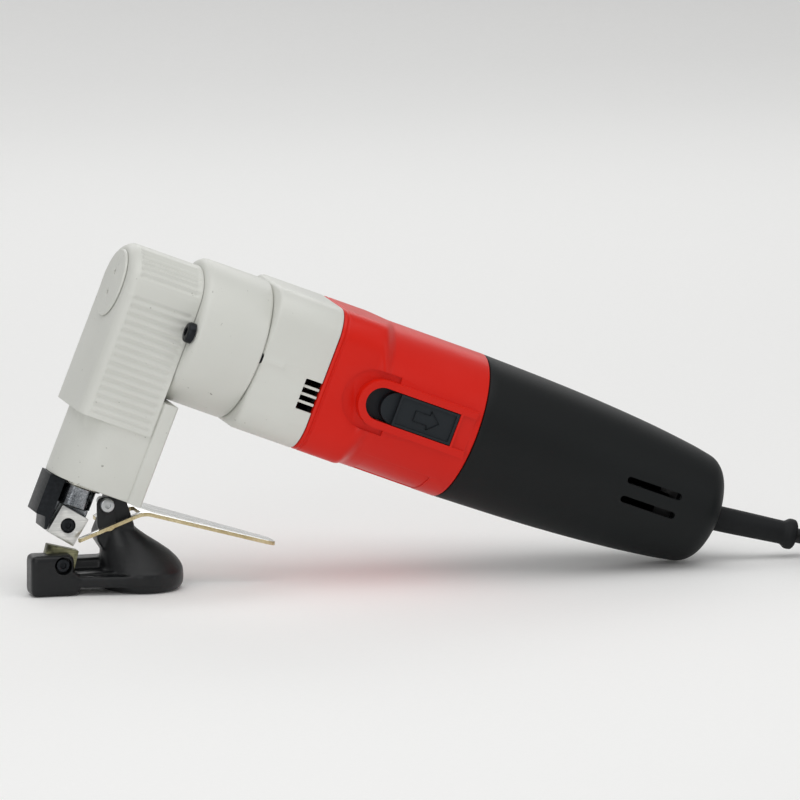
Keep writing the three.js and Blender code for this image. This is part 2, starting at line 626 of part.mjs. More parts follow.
// A plate standing out along -Y: square at the rear and half round at the front.
function switchPlate(front, rear, half, y0, y1) {
  const straight = front + half;
  return join(box(straight, rear, y0, y1, -half, half), rodY(y0, y1, half, straight, 0, 20));
}
function motorHousing() {
  const ramp = turnX([
    [rampStart - 1, 0], [rampStart - 1, CASE.halfWidth - 1], [rampStart, CASE.halfWidth],
    [rampEnd, HOUSING.barrel], [rampEnd, 0],
  ], 48);
  const barrel = rodX(rampEnd - 0.5, HOUSING.rear, HOUSING.barrel, 0, 0, 40);
  const rimHalf = slotHalf + SWITCH.rim;
  const rim = switchPlate(
    slot.front - SWITCH.rim, slot.rear + 6, rimHalf, -SWITCH.rimTop, -CASE.halfWidth + 1,
  );
  const shell = cut(
    join(squareShell(housingFront, rampStart + 0.5, 0), ramp, barrel, rim),
    squareShell(housingFront - 1, rampEnd - 0.5, CASE.wall),
    rodX(rampEnd - 1, HOUSING.rear + 1, innerBarrel, 0, 0, 40),
    switchPlate(slot.front, slot.rear, slotHalf, -SWITCH.rimTop - 1, -CASE.halfWidth + 8),
    box(
      slot.front - SWITCH.travel - 10, rampEnd, -SWITCH.baseTop - 0.4, -CASE.halfWidth + CASE.wall + 1,
      -slotHalf, slotHalf,
    ),
  );
  // The frame that carries the armature's rear bearing reaches back into the rear cover.
  const arms = sides.map((side) => {
    const arm = (x0, x1, low, high) => box(
      x0, x1, -bridge.half, bridge.half, ...order(side * low, side * high),
    );
    return join(
      arm(bridge.front, bridge.rear, bridge.inner, bridge.outer),
      arm(bridge.front, HOUSING.rear - 0.5, bridge.outer - 1.2, HOUSING.barrel - 2.4),
      arm(REAR_BEARING.x - 1, bridge.rear, BEARING.rear + 0.6, bridge.inner),
    );
  });
  const seat = rodX(REAR_BEARING.x - 1, bridge.rear, BEARING.rear + 2.4);
  const inBridge = [
    rodX(REAR_BEARING.x - 0.3, bridge.rear + 1, BEARING.rear + RUN),
    rodX(REAR_BEARING.x - 2, bridge.rear, MOTOR_SHAFT.radius + 1),
    coverScrewHole(),
  ];
  return cut(join(shell, ...arms, seat), ...inBridge);
}
function order(a, b) {
  return a < b ? [a, b] : [b, a];
}
const COVER_SCREW = { x: HOUSING.rear + 4, head: 3.4, radius: 1.9, tip: -27, seat: -33.4, top: -34.9 };
function coverScrewHole() {
  return rodZ(-40, COVER_SCREW.tip + 0.5, COVER_SCREW.radius + 0.2, COVER_SCREW.x, 0, 12);
}
add("motor_housing", motorHousing(), "redPlastic");

// ---------------------------------------------------------------- slide switch
function slideButton() {
  const { padLength, padTop, stepTop, baseTop, baseBottom, travel } = SWITCH;
  const half = slotHalf - 0.4;
  const padRear = slot.rear - 0.4;
  const padFront = padRear - padLength;
  const stepFront = slot.front + travel + 0.3;
  return join(
    box(slot.front - travel, slot.rear + 5, -baseTop, -baseBottom, -half, half),
    switchPlate(stepFront, padFront + 1, half, -stepTop, -baseTop + 0.5),
    box(padFront, padRear, -padTop, -baseTop + 0.5, -half, half),
  );
}
add("switch_slider", slideButton(), "blackPlastic");
const rodFront = slot.rear + 5 + REST;
const MODULE = { front: HOUSING.rear + 27, rear: HOUSING.rear + 59, y0: -24, y1: -4, half: 9 };
add("switch_rod", join(
  box(rodFront, MODULE.front + 15, -SWITCH.baseTop, -28.5, -3, 3),
  box(MODULE.front + 9, MODULE.front + 15, -28.8, MODULE.y0 - 0.4, -3, 3),
), "blackPlastic");
add("switch_module", box(MODULE.front, MODULE.rear, MODULE.y0, MODULE.y1, -MODULE.half, MODULE.half),
  "blackPlastic");

// ---------------------------------------------------------------- rear cover
const coverFront = HOUSING.rear + REST;
const coverRear = coverFront + COVER.profile.at(-1)[0];
const slotX = coverFront + COVER.slotBack;
function rearCover() {
  const outer = COVER.profile.map(([back, radius]) => [coverFront + back, radius]);
  const inner = COVER.profile.slice(0, -3)
    .map(([back, radius]) => [coverFront + back, radius - COVER.wall]);
  const tail = coverRear;
  const innerEnd = tail - COVER.wall - 4;
  const shell = turnX([[coverFront, 0], ...outer, [tail, 0]], 40);
  const room = turnX([
    [coverFront - 1, 0], [coverFront - 1, inner[0][1]], ...inner, [innerEnd, 17], [innerEnd, 0],
  ], 40);
  const half = COVER.slotHeight / 2;
  const reach = COVER.slotLength / 2 - half;
  const slots = sides.flatMap((side) => COVER.slotZ.map((z) => {
    const [y0, y1] = order(side * 20, side * 40);
    return join(
      box(slotX - reach, slotX + reach, y0, y1, z - half, z + half),
      rodY(y0, y1, half, slotX - reach, z, 12),
      rodY(y0, y1, half, slotX + reach, z, 12),
    );
  }));
  return cut(
    shell, room, ...slots,
    rodX(innerEnd - 1, tail + 1, GUARD.radius + 0.4, 0, GUARD.z),
    rodZ(-40, -bridge.outer, COVER_SCREW.radius + 0.2, COVER_SCREW.x, 0, 12),
    rodZ(-40, COVER_SCREW.seat, COVER_SCREW.head + 0.2, COVER_SCREW.x, 0, 12),
  );
}
add("rear_cover", rearCover(), "blackPlastic");
add("rear_cover_screw", cut(
  join(
    rodZ(COVER_SCREW.top, COVER_SCREW.seat - RUN, COVER_SCREW.head, COVER_SCREW.x, 0, 20),
    rodZ(COVER_SCREW.seat - 0.6, COVER_SCREW.tip, COVER_SCREW.radius, COVER_SCREW.x, 0, 12),
  ),
  rodZ(COVER_SCREW.top - 1, COVER_SCREW.top + 0.7, 1.2, COVER_SCREW.x, 0, 6),
), "blackenedSteel");

const clampX = coverRear - 24;
add("cord_clamp", cut(
  rodX(clampX, clampX + 6, 23.4, 0, 0, 40),
  rodX(clampX - 1, clampX + 7, CORD.radius + RUN, 0, GUARD.z),
  box(clampX - 1, clampX + 7, 14, 30, -30, 30),
  box(clampX - 1, clampX + 7, -30, -14, -30, 30),
), "blackPlastic");
const guardFlangeX = coverRear - COVER.wall - 4 - 3.4;
add("inner_lead", rodX(MODULE.rear + 0.4, guardFlangeX - REST, CORD.radius, 0, GUARD.z, 10), "blackRubber");

// ---------------------------------------------------------------- cord guard
function cordGuard() {
  const { length, radius, tip, flange, bore } = GUARD;
  const inside = guardFlangeX - coverRear;
  const sleeve = turnX([
    [0, 0], [0, radius], [length - 6, radius - 0.4], [length - 3.4, tip], [length - 0.6, tip],
    [length, tip - 0.7], [length, 0],
  ], 20);
  const root = join(rodX(inside, 1, radius, 0, 0, 20), rodX(inside, inside + 3, flange, 0, 0, 20));
  const boreOf = rodX(-1, length + 1, bore, 0, 0, 12);
  return join(cut(root, rodX(inside - 1, 2, bore, 0, 0, 12)), cut(sleeve, boreOf).rotate([0, -GUARD.rise, 0]))
    .translate(coverRear, 0, GUARD.z);
}
add("cord_guard", cordGuard(), "blackRubber");

// ---------------------------------------------------------------- foot and lower blade
// Tool frame point (x, z) in the ground frame.
function toGround(x, z) {
  return [
    x * Math.cos(TILT) + z * Math.sin(TILT),
    AXIS_HEIGHT - x * Math.sin(TILT) + z * Math.cos(TILT),
  ];
}
const tilted = (made) => made.rotate([0, THREE.MathUtils.radToDeg(TILT), 0]).translate(0, 0, AXIS_HEIGHT);
const blockFar = SHEAR_PLANE - BLADE_GAP;
const lowerBladeFront = blockFar - BLADE.thickness;

function yoke() {
  const block = prismY(outlineOf([
    [FOOT.front, 1.2], [FOOT.front + 1.2, 0], [FOOT.blockRear, 0], [FOOT.blockRear, FOOT.blockTop],
    [FOOT.front + 1, FOOT.blockTop], [FOOT.front, FOOT.blockTop - 1],
  ]), FOOT.nearSide, blockFar);
  const flank = outlineOf([
    [FOOT.blockRear - 5, FOOT.nearSide], [FOOT.blockRear + 3, FOOT.nearSide],
    [FOOT.discX - 12, FOOT.nearSide - 3.6], [FOOT.discX, FOOT.discY - FOOT.discRadius],
    [FOOT.discX, 0], [FOOT.blockRear - 5, 0],
  ]);
  const bridgeSolid = join(
    prismZ(flank, FOOT.bridgeBottom, FOOT.discHeight),
    box(FOOT.blockRear - 5, FOOT.discX, FOOT.nearSide + 2, FOOT.bridgeFar, FOOT.bridgeBottom, FOOT.bridgeTop),
    box(FOOT.blockRear - 4, FOOT.reliefFront, FOOT.nearSide + 2, FOOT.bridgeFar, 0, FOOT.bridgeTop),
  );
  const disc = rodZ(0, FOOT.discHeight, FOOT.discRadius, FOOT.discX, FOOT.discY, 36);
  const climb = SHOULDER.top - FOOT.discHeight;
  const leaning = new THREE.Matrix4().makeShear(0, 0, 0, 0, -SHOULDER.lean / climb, SHOULDER.shiftY / climb);
  const [frontX, frontZ] = toGround(NECK.stubFront, HEAD.bottom - REST);
  const [rearX, rearZ] = toGround(NECK.stubRear, HEAD.bottom - REST);
  const web = prismY(outlineOf([
    [-20, FOOT.bridgeTop - 4], [14, FOOT.discHeight - 2], [17.1, FOOT.discHeight - 0.2],
    [15, 13], [11.4, 17.5], [6, 21.6], [0.2, 24.9], [-6.2, 30.6],
    [rearX, rearZ], [frontX, frontZ], [-21.6, 34], [-25.2, 26.4], [-24.6, 23.4], [-18.2, 16.9], [-17.6, 13],
  ]), NECK.near, NECK.far);
  const shoulder = solid(new THREE.CylinderGeometry(
    SHOULDER.topRadius, FOOT.discRadius, climb, 36,
  ).rotateX(Math.PI / 2).translate(0, 0, climb / 2).applyMatrix4(leaning))
    .translate(FOOT.discX, FOOT.discY, FOOT.discHeight);
  const saddle = box(SADDLE.front, SADDLE.rear, SADDLE.near, SADDLE.far, 0, SADDLE.top);
  const stub = tilted(box(
    NECK.stubFront, NECK.stubRear, -NECK.stubHalf, NECK.stubHalf - 1.4, HEAD.bottom - 3, NECK.stubTop,
  ));
  const clampHole = tilted(rodX(
    NECK.stubFront - 1, NECK.stubRear + 1, CLAMP_SCREW.radius + 0.2, 0, CLAMP_SCREW.z,
  ));
  const bladePocket = lean(
    squareBlade(LOWER.side + 2 * REST, lowerBladeFront - REST, NECK.far + 20), LOWER.slope, LOWER.x, LOWER.z,
  );
  return cut(
    join(block, bridgeSolid, saddle, disc, shoulder, web, stub),
    clampHole,
    bladePocket,
    rodY(FOOT.nearSide - 1, lowerBladeFront + 1, BLADE.screw + 0.3, LOWER.x, LOWER.z),
    rodY(FOOT.nearSide - 1, FOOT.nearSide + 4.6, BLADE.screwHead + 0.8, LOWER.x, LOWER.z),
    rodY(NECK.near - 1, NECK.far - 2, PLATE_SCREW.radius + 0.2, PLATE_SCREW.x, PLATE_SCREW.z),
  );
}
add("yoke", yoke(), "blackenedSteel", part);
add("yoke_clamp_screw", tilted(join(
  rodX(HEAD.rear + REST, HEAD.rear + REST + CLAMP_SCREW.headLength, CLAMP_SCREW.head, 0, CLAMP_SCREW.z, 24),
  rodX(NECK.stubFront + 1, HEAD.rear + 1, CLAMP_SCREW.radius, 0, CLAMP_SCREW.z, 20),
)), "blackenedSteel", part);
add("lower_blade", cut(
  lean(squareBlade(LOWER.side, lowerBladeFront, blockFar), LOWER.slope, LOWER.x, LOWER.z),
  rodY(lowerBladeFront - 1, blockFar + 1, BLADE.screw + 0.2, LOWER.x, LOWER.z),
), "toolSteel", part);
add("lower_blade_screw", socketScrewY(
  FOOT.nearSide + 1, blockFar - 1, BLADE.screwHead, 3.4, BLADE.screw, LOWER.x, LOWER.z, 1.7,
), "blackenedSteel", part);

// ---------------------------------------------------------------- guard plate
function guardPlate() {
  const { thickness, near, far, frontX, frontZ, bendX, bendZ, rearX, rearZ, tipNear, tipFar } = PLATE;
  const side = prismY(outlineOf([
    [frontX, frontZ], [bendX, bendZ], [rearX, rearZ],
    [rearX, rearZ - thickness], [bendX, bendZ - thickness], [frontX, frontZ - thickness],
  ]), near, far);
  const plan = prismZ(outlineOf([
    [frontX - 1, near], [bendX, near], [rearX - PLATE.tipRound, tipNear - 0.6],
    [rearX - 1.4, tipNear + 1.4], [rearX, tipNear + PLATE.tipRound],
    [rearX, tipFar - PLATE.tipRound], [rearX - 1.4, tipFar - 1.4],
    [rearX - PLATE.tipRound, tipFar + 1], [bendX + 6, far - 2], [bendX, far],
    [frontX + 14, far - 5], [frontX + 14, near + 4], [frontX - 1, near + 3],
  ]), 0, 60);
  const neckSlot = box(frontX + 2, bendX - 1.2, NECK.near - REST, NECK.far + REST, 0, 60);
  const ear = box(
    PLATE_SCREW.x - 4.4, PLATE_SCREW.x + 4.4, NECK.near - REST - thickness, NECK.near - REST,
    bendZ - 9, PLATE_SCREW.z + 2.6,
  );
  return cut(
    join(side.intersect(plan).subtract(neckSlot), ear),
    rodY(near - 1, NECK.near, PLATE_SCREW.radius + 0.2, PLATE_SCREW.x, PLATE_SCREW.z),
  );
}
add("guard_plate", guardPlate(), "polishedSteel", part);
const earFace = NECK.near - REST - PLATE.thickness;
const plateScrewRod = (y0, y1, radius, rounds) => rodY(
  y0, y1, radius, PLATE_SCREW.x, PLATE_SCREW.z, rounds,
);
add("guard_plate_screw", cut(
  join(
    plateScrewRod(earFace - REST - PLATE_SCREW.headLength, earFace - REST, PLATE_SCREW.head, 16),
    plateScrewRod(earFace - 1, NECK.far - 3, PLATE_SCREW.radius, 12),
  ),
  plateScrewRod(earFace - 5, earFace - REST - 1.2, 1.6, 6),
), "zinc", part);

// ---------------------------------------------------------------- cord, coil and plug
const [rootX, rootZ] = toGround(coverRear, GUARD.z);
const fall = TILT - THREE.MathUtils.degToRad(GUARD.rise);
const tip = [rootX + GUARD.length * Math.cos(fall), rootZ - GUARD.length * Math.sin(fall)];
const ringOuter = CORD.coilMiddle + CORD.coilSide / 2;
const leadEnd = CORD.coilX - Math.sqrt(ringOuter ** 2 - (CORD.coilY + CORD.radius) ** 2) - REST - 0.2;
const leadPoints = [
  [tip[0] + 0.3 * Math.cos(fall), tip[1] - 0.3 * Math.sin(fall)],
  [tip[0] + 7, tip[1] - 1.75],
  [tip[0] + 14, tip[1] - 3.3],
  [leadEnd, tip[1] - 4],
].map(([x, z]) => new THREE.Vector3(x, 0, z));
const cordSection = new THREE.Shape();
cordSection.absarc(0, 0, CORD.radius, 0, 2 * Math.PI);
add("cord_lead", solid(new THREE.ExtrudeGeometry(cordSection, {
  extrudePath: new THREE.CatmullRomCurve3(leadPoints),
  steps: 3,
  curveSegments: 10,
})), "blackRubber", part);

const ringInner = CORD.coilMiddle - CORD.coilSide / 2;
const ringOutline = [
  [ringInner, 0.2], [ringOuter, 0.2], [ringOuter, CORD.coilSide], [ringInner, CORD.coilSide],
  [ringInner, 0.2],
].map(([radius, height]) => new THREE.Vector2(radius, height));
add("cord_coil", solid(new THREE.LatheGeometry(ringOutline, 40).rotateX(Math.PI / 2))
  .translate(CORD.coilX, CORD.coilY, 0), "blackRubber", part);

// The plug lies on the coil, across its near side, with its pins pointing along -X.
const plugZ = CORD.coilSide + REST + PLUG.height / 2;
const plugY = CORD.coilY - CORD.coilMiddle;
const plugX0 = CORD.coilX + 4 - PLUG.length;
add("plug_body", prismX(roundedOutline(PLUG.width / 2, PLUG.height / 2, 4), plugX0, plugX0 + PLUG.length, 4)
  .translate(0, plugY, plugZ), "blackPlastic", part);
for (const side of sides) {
  const y = plugY + (side * PLUG.pinSpacing) / 2 * 0.7;
  add(`plug_pin_${side < 0 ? 1 : 2}`,
    rodX(plugX0 - REST - PLUG.pinLength, plugX0 - REST, PLUG.pin, y, plugZ, 12), "zinc", part);
}

// ---------------------------------------------------------------- origin
// The origin is under the middle of the tool without its cord, so everything moves there together.
const CORD_NODES = ["cord_lead", "cord_coil", "plug_body", "plug_pin_1", "plug_pin_2"];
part.updateMatrixWorld(true);
const extent = new THREE.Box3();
part.traverse((mesh) => {
  if (mesh.isMesh && !CORD_NODES.includes(mesh.name)) extent.expandByObject(mesh, true);
});
part.position.set(
  -(extent.min.x + extent.max.x) / 2, -(extent.min.y + extent.max.y) / 2, -extent.min.z,
);

export default part;
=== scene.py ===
# Electric sheet-metal shear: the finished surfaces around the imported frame.
# Pieces are shaped in millimetres, in one of two frames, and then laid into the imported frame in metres:
# TOOL has the motor axis as X, towards the cord, and the ram axis as Z; GROUND is level, with z = 0 on
# the surface that the tool stands on and x = 0 under the crossing of those two axes.
import json
import math

import bmesh
import bpy
from mathutils import Matrix, Vector


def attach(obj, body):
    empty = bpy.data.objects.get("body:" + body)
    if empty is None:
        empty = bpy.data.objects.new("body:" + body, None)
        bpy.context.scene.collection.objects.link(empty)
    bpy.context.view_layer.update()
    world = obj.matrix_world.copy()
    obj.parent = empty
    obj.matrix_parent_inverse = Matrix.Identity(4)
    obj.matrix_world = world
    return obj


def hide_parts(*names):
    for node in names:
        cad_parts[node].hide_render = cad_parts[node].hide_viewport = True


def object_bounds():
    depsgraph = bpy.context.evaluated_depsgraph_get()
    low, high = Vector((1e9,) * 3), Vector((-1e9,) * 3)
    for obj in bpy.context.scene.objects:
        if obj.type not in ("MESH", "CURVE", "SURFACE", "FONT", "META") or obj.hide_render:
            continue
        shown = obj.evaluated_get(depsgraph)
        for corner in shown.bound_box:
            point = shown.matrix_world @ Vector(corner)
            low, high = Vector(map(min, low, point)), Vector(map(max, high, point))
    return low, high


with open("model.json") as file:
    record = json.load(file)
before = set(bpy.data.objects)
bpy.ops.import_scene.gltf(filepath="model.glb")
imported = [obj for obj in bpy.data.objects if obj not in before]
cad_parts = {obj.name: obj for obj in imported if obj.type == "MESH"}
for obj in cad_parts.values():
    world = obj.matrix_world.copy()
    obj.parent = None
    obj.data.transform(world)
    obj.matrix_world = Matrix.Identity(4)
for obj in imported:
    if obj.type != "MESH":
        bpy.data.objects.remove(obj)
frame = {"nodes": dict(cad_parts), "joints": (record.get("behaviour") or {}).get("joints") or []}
cad_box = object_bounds()
scene = bpy.context.scene
scene.view_settings.view_transform = "Standard"

MM = 0.001
joints = {joint["name"]: joint for joint in frame["joints"]}
CROSSING = Vector(joints["armature_spin"]["pos_m"])
BACK = Vector(joints["armature_spin"]["axis"]).normalized()
ACROSS = Vector((0, 1, 0))
UP = BACK.cross(ACROSS)
TOOL = Matrix.Translation(CROSSING) @ Matrix((BACK, ACROSS, UP)).transposed().to_4x4() @ Matrix.Scale(MM, 4)
GROUND = Matrix.Translation((CROSSING.x, CROSSING.y, 0)) @ Matrix.Scale(MM, 4)


# ---------------------------------------------------------------- camera and lights
def make_camera():
    data = bpy.data.cameras.new("product_camera")
    data.sensor_width = 36
    data.clip_end = 20
    camera = bpy.data.objects.new("product_camera", data)
    scene.collection.objects.link(camera)
    scene.camera = camera
    azimuth, elevation = math.radians(-14), math.radians(10)
    distance, picture_width = 12, 0.376
    data.lens = data.sensor_width * distance / picture_width
    aim = GROUND @ Vector((123.7, 0, 83))
    back = Vector((
        math.sin(azimuth) * math.cos(elevation),
        -math.cos(azimuth) * math.cos(elevation),
        math.sin(elevation),
    ))
    camera.location = aim + back * distance
    camera.rotation_euler = (-back).to_track_quat("-Z", "Y").to_euler()


def area_light(name, place, target, size, power):
    data = bpy.data.lights.new(name, "AREA")
    data.shape = "RECTANGLE"
    data.size, data.size_y = size
    data.energy = power
    light = bpy.data.objects.new(name, data)
    scene.collection.objects.link(light)
    light.location = place
    light.rotation_euler = (Vector(target) - Vector(place)).to_track_quat("-Z", "Y").to_euler()


def make_studio():
    middle = (cad_box[0] + cad_box[1]) / 2
    area_light("softbox_top", (middle.x - 0.1, -0.25, 1.3), middle, (1.6, 1.2), 7.8)
    area_light("softbox_front", (middle.x - 0.9, -1.5, 0.75), middle, (1.0, 1.0), 5.6)
    area_light("softbox_right", (middle.x + 1.4, -1.0, 0.6), middle, (0.8, 1.2), 2.5)
    area_light("strip_back", (middle.x + 0.2, 1.3, 0.8), middle, (1.6, 0.5), 4)
    world = bpy.data.worlds.new("studio_air")
    scene.world = world
    world.use_nodes = True
    sky = world.node_tree.nodes["Background"]
    sky.inputs["Color"].default_value = (1, 1, 1, 1)
    sky.inputs["Strength"].default_value = 0.4


# ---------------------------------------------------------------- shape tools
def ring(half_y, half_z, corner, x=0.0, y=0.0, z=0.0, per_arc=8, per_side=4):
    """One closed outline across X: a rounded rectangle, or a circle where the corner is the half size."""
    corner = min(corner, half_y, half_z)
    arms = [(half_y - corner, half_z - corner, 0), (-half_y + corner, half_z - corner, 90),
            (-half_y + corner, -half_z + corner, 180), (half_y - corner, -half_z + corner, 270)]
    points = []
    for index, (cy, cz, start) in enumerate(arms):
        for step in range(per_arc + 1):
            a = math.radians(start + 90 * step / per_arc)
            points.append(Vector((x, y + cy + corner * math.cos(a), z + cz + corner * math.sin(a))))
        ny, nz, turn = arms[(index + 1) % 4]
        a = math.radians(turn)
        last = points[-1]
        following = Vector((x, y + ny + corner * math.cos(a), z + nz + corner * math.sin(a)))
        points += [last.lerp(following, s / per_side) for s in range(1, per_side)]
    return points


def skin(bm, outlines, capped=(True, True)):
    """Bridges closed outlines of equal count one after the other and closes the ends."""
    loops = []
    for outline in outlines:
        verts = [bm.verts.new(point) for point in outline]
        loops.append([bm.edges.new((verts[i - 1], verts[i])) for i in range(len(verts))])
    for first, second in zip(loops, loops[1:]):
        bmesh.ops.bridge_loops(bm, edges=first + second)
    for loop, wanted in ((loops[0], capped[0]), (loops[-1], capped[1])):
        if wanted:
            bmesh.ops.contextual_create(bm, geom=loop)
    bmesh.ops.remove_doubles(bm, verts=bm.verts, dist=1e-3)
    bmesh.ops.recalc_face_normals(bm, faces=bm.faces)
    return bm


def turned(profile, steps=64, close=True):
    """A profile of (x, radius) points spun about X; points on the axis close its ends."""
    bm = bmesh.new()
    verts = [bm.verts.new((x, 0, radius)) for x, radius in profile]
    edges = [bm.edges.new(pair) for pair in zip(verts, verts[1:])]
    if close and profile[0][1] > 0:
        edges.append(bm.edges.new((verts[-1], verts[0])))
    bmesh.ops.spin(
        bm, geom=verts + edges, cent=(0, 0, 0), axis=(1, 0, 0), dvec=(0, 0, 0),
        angle=math.tau, steps=steps, use_merge=True, use_duplicate=False,
    )
    bmesh.ops.remove_doubles(bm, verts=bm.verts, dist=1e-4)
    bmesh.ops.recalc_face_normals(bm, faces=bm.faces)
    return bm


def block(x0, x1, y0, y1, z0, z1, radius=0.0, segments=3, only=None):
    """A box with rounded edges; `only` picks the edges by their direction."""
    bm = bmesh.new()
    bmesh.ops.create_cube(bm, size=1)
    bmesh.ops.scale(bm, vec=(x1 - x0, y1 - y0, z1 - z0), verts=bm.verts)
    bmesh.ops.translate(bm, vec=((x0 + x1) / 2, (y0 + y1) / 2, (z0 + z1) / 2), verts=bm.verts)
    if radius:
        edges = bm.edges[:] if only is None else [
            edge for edge in bm.edges
            if abs((edge.verts[0].co - edge.verts[1].co).normalized()[only]) > 0.99
        ]
        round_edges(bm, edges, radius, segments)
    return bm


def round_edges(bm, edges, radius, segments=3):
    bmesh.ops.bevel(
        bm, geom=edges, offset=radius, offset_type="OFFSET", segments=segments, profile=0.5,
        affect="EDGES", clamp_overlap=True, material=-1,
    )


def plate(outline, y0, y1, radius=0.0, segments=3):
    """A flat outline of (x, z) points made solid between two places across the tool."""
    bm = bmesh.new()
    face = bm.faces.new([bm.verts.new((x, y0, z)) for x, z in outline])
    grown = bmesh.ops.extrude_face_region(bm, geom=[face])
    moved = [item for item in grown["geom"] if isinstance(item, bmesh.types.BMVert)]
    bmesh.ops.translate(bm, vec=(0, y1 - y0, 0), verts=moved)
    bmesh.ops.recalc_face_normals(bm, faces=bm.faces)
    if radius:
        round_edges(bm, bm.edges[:], radius, segments)
    return bm


def added(bm, *others):
    """Puts the shapes of other bmeshes into bm as separate shells."""
    for other in others:
        mesh = bpy.data.meshes.new("joining")
        other.to_mesh(mesh)
        bm.from_mesh(mesh)
        bpy.data.meshes.remove(mesh)
        other.free()
    return bm


def moved(bm, place=(0, 0, 0), turn=0.0, axis="Y"):
    """Turns a shape about one axis through the origin, in degrees, then moves it."""
    bmesh.ops.rotate(
        bm, cent=(0, 0, 0), matrix=Matrix.Rotation(math.radians(turn), 3, axis), verts=bm.verts,
    )
    bmesh.ops.translate(bm, vec=place, verts=bm.verts)
    return bm


def loose_object(name, bm, place):
    mesh = bpy.data.meshes.new(name)
    bm.transform(place)
    bm.to_mesh(mesh)
    bm.free()
    made = bpy.data.objects.new(name, mesh)
    scene.collection.objects.link(made)
    return made


def apply_modifiers(made):
    """Turns what the modifiers show into the piece's own mesh."""
    graph = bpy.context.evaluated_depsgraph_get()
    graph.update()
    old = made.data
    made.data = bpy.data.meshes.new_from_object(made.evaluated_get(graph))
    made.data.name = made.name
    made.modifiers.clear()
    bpy.data.meshes.remove(old)


def combine(made, tool_shape, place, operation="DIFFERENCE"):
    """Cuts or joins a piece with a shape that is then thrown away."""
    other = loose_object("cutter", tool_shape, place)
    before = made.data.copy()
    # Faces that lie exactly on each other can empty the result, so the shape is then shifted by microns.
    for shift in ((0, 0, 0), (7e-6, 5e-6, -6e-6), (-9e-6, 1.1e-5, 8e-6)):
        other.data.transform(Matrix.Translation(shift))
        change = made.modifiers.new("combine", "BOOLEAN")
        change.operation = operation
        change.solver = "EXACT"
        change.object = other
        apply_modifiers(made)
        if made.data.polygons:
            break
        made.data = before.copy()
    bpy.data.objects.remove(other)


def soften(made, width, segments=3, angle=35):
    """Small rounded edges where two faces meet at more than the angle."""
    change = made.modifiers.new("edge_round", "BEVEL")
    change.width = width * MM
    change.segments = segments
    change.limit_method = "ANGLE"
    change.angle_limit = math.radians(angle)
    change.harden_normals = False
    change.use_clamp_overlap = True
    apply_modifiers(made)


def melt(made, voxel, smooth_steps):
    """Runs a piece's shells together into one cast body with soft inner corners."""
    change = made.modifiers.new("cast", "REMESH")
    change.mode = "VOXEL"
    change.voxel_size = voxel * MM
    apply_modifiers(made)
    change = made.modifiers.new("flow", "SMOOTH")
    change.iterations = smooth_steps
    change.factor = 0.5
    apply_modifiers(made)


def put_on(made, body, material, nodes=(), smooth_angle=38):
    """Finishes a piece: shading, material, the body it rides on and the frame nodes it stands for."""
    made.data.materials.clear()
    made.data.materials.append(material)
    for polygon in made.data.polygons:
        polygon.use_smooth = True
    made.data.set_sharp_from_angle(angle=math.radians(smooth_angle))
    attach(made, body)
    if nodes:
        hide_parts(*nodes)
    return made


# ---------------------------------------------------------------- materials
def linear(code):
    """An sRGB hex colour as linear RGBA."""
    def channel(value):
        return value / 12.92 if value <= 0.04045 else ((value + 0.055) / 1.055) ** 2.4
    return tuple(channel(int(code[i:i + 2], 16) / 255) for i in (1, 3, 5)) + (1.0,)


def put(tree, kind, sockets=None, **settings):
    """Adds a node with its settings, and with a value or a link for each named socket."""
    made = tree.nodes.new(kind)
    for key, value in settings.items():
        setattr(made, key, value)
    for key, value in (sockets or {}).items():
        if isinstance(value, bpy.types.NodeSocket):
            tree.links.new(value, made.inputs[key])
        else:
            made.inputs[key].default_value = value
    return made


def new_material(name, **constants):
    """A material with its shader, whose steady values sit on the shader's own sockets."""
    material = bpy.data.materials.new(name)
    material.use_nodes = True
    tree = material.node_tree
    shader = tree.nodes["Principled BSDF"]
    for key, value in constants.items():
        shader.inputs[key.replace("_", " ")].default_value = value
    coords = put(tree, "ShaderNodeTexCoord").outputs["Object"]
    return material, tree, shader, coords


def per_metre(size_mm):
    """Texture scale for a pattern whose cells are this many millimetres."""
    return 1000 / size_mm


def tinted(tree, shader, factor, low, high, socket="Base Color"):
    """Mixes two hex colours, or two numbers, by a factor, into a socket of the shader."""
    if isinstance(low, str):
        mixed = put(tree, "ShaderNodeMix", {0: factor, 6: linear(low), 7: linear(high)}, data_type="RGBA")
        tree.links.new(mixed.outputs[2], shader.inputs[socket])
        return mixed.outputs[2]
    mixed = put(tree, "ShaderNodeMapRange", {0: factor, 3: low, 4: high})
    tree.links.new(mixed.outputs[0], shader.inputs[socket])
    return mixed.outputs[0]


def raised(tree, shader, height, depth_mm, strength=1.0):
    """Gives the shader a bump of a real depth."""
    bump = put(tree, "ShaderNodeBump", {"Height": height, "Distance": depth_mm * MM, "Strength": strength})
    tree.links.new(bump.outputs[0], shader.inputs["Normal"])


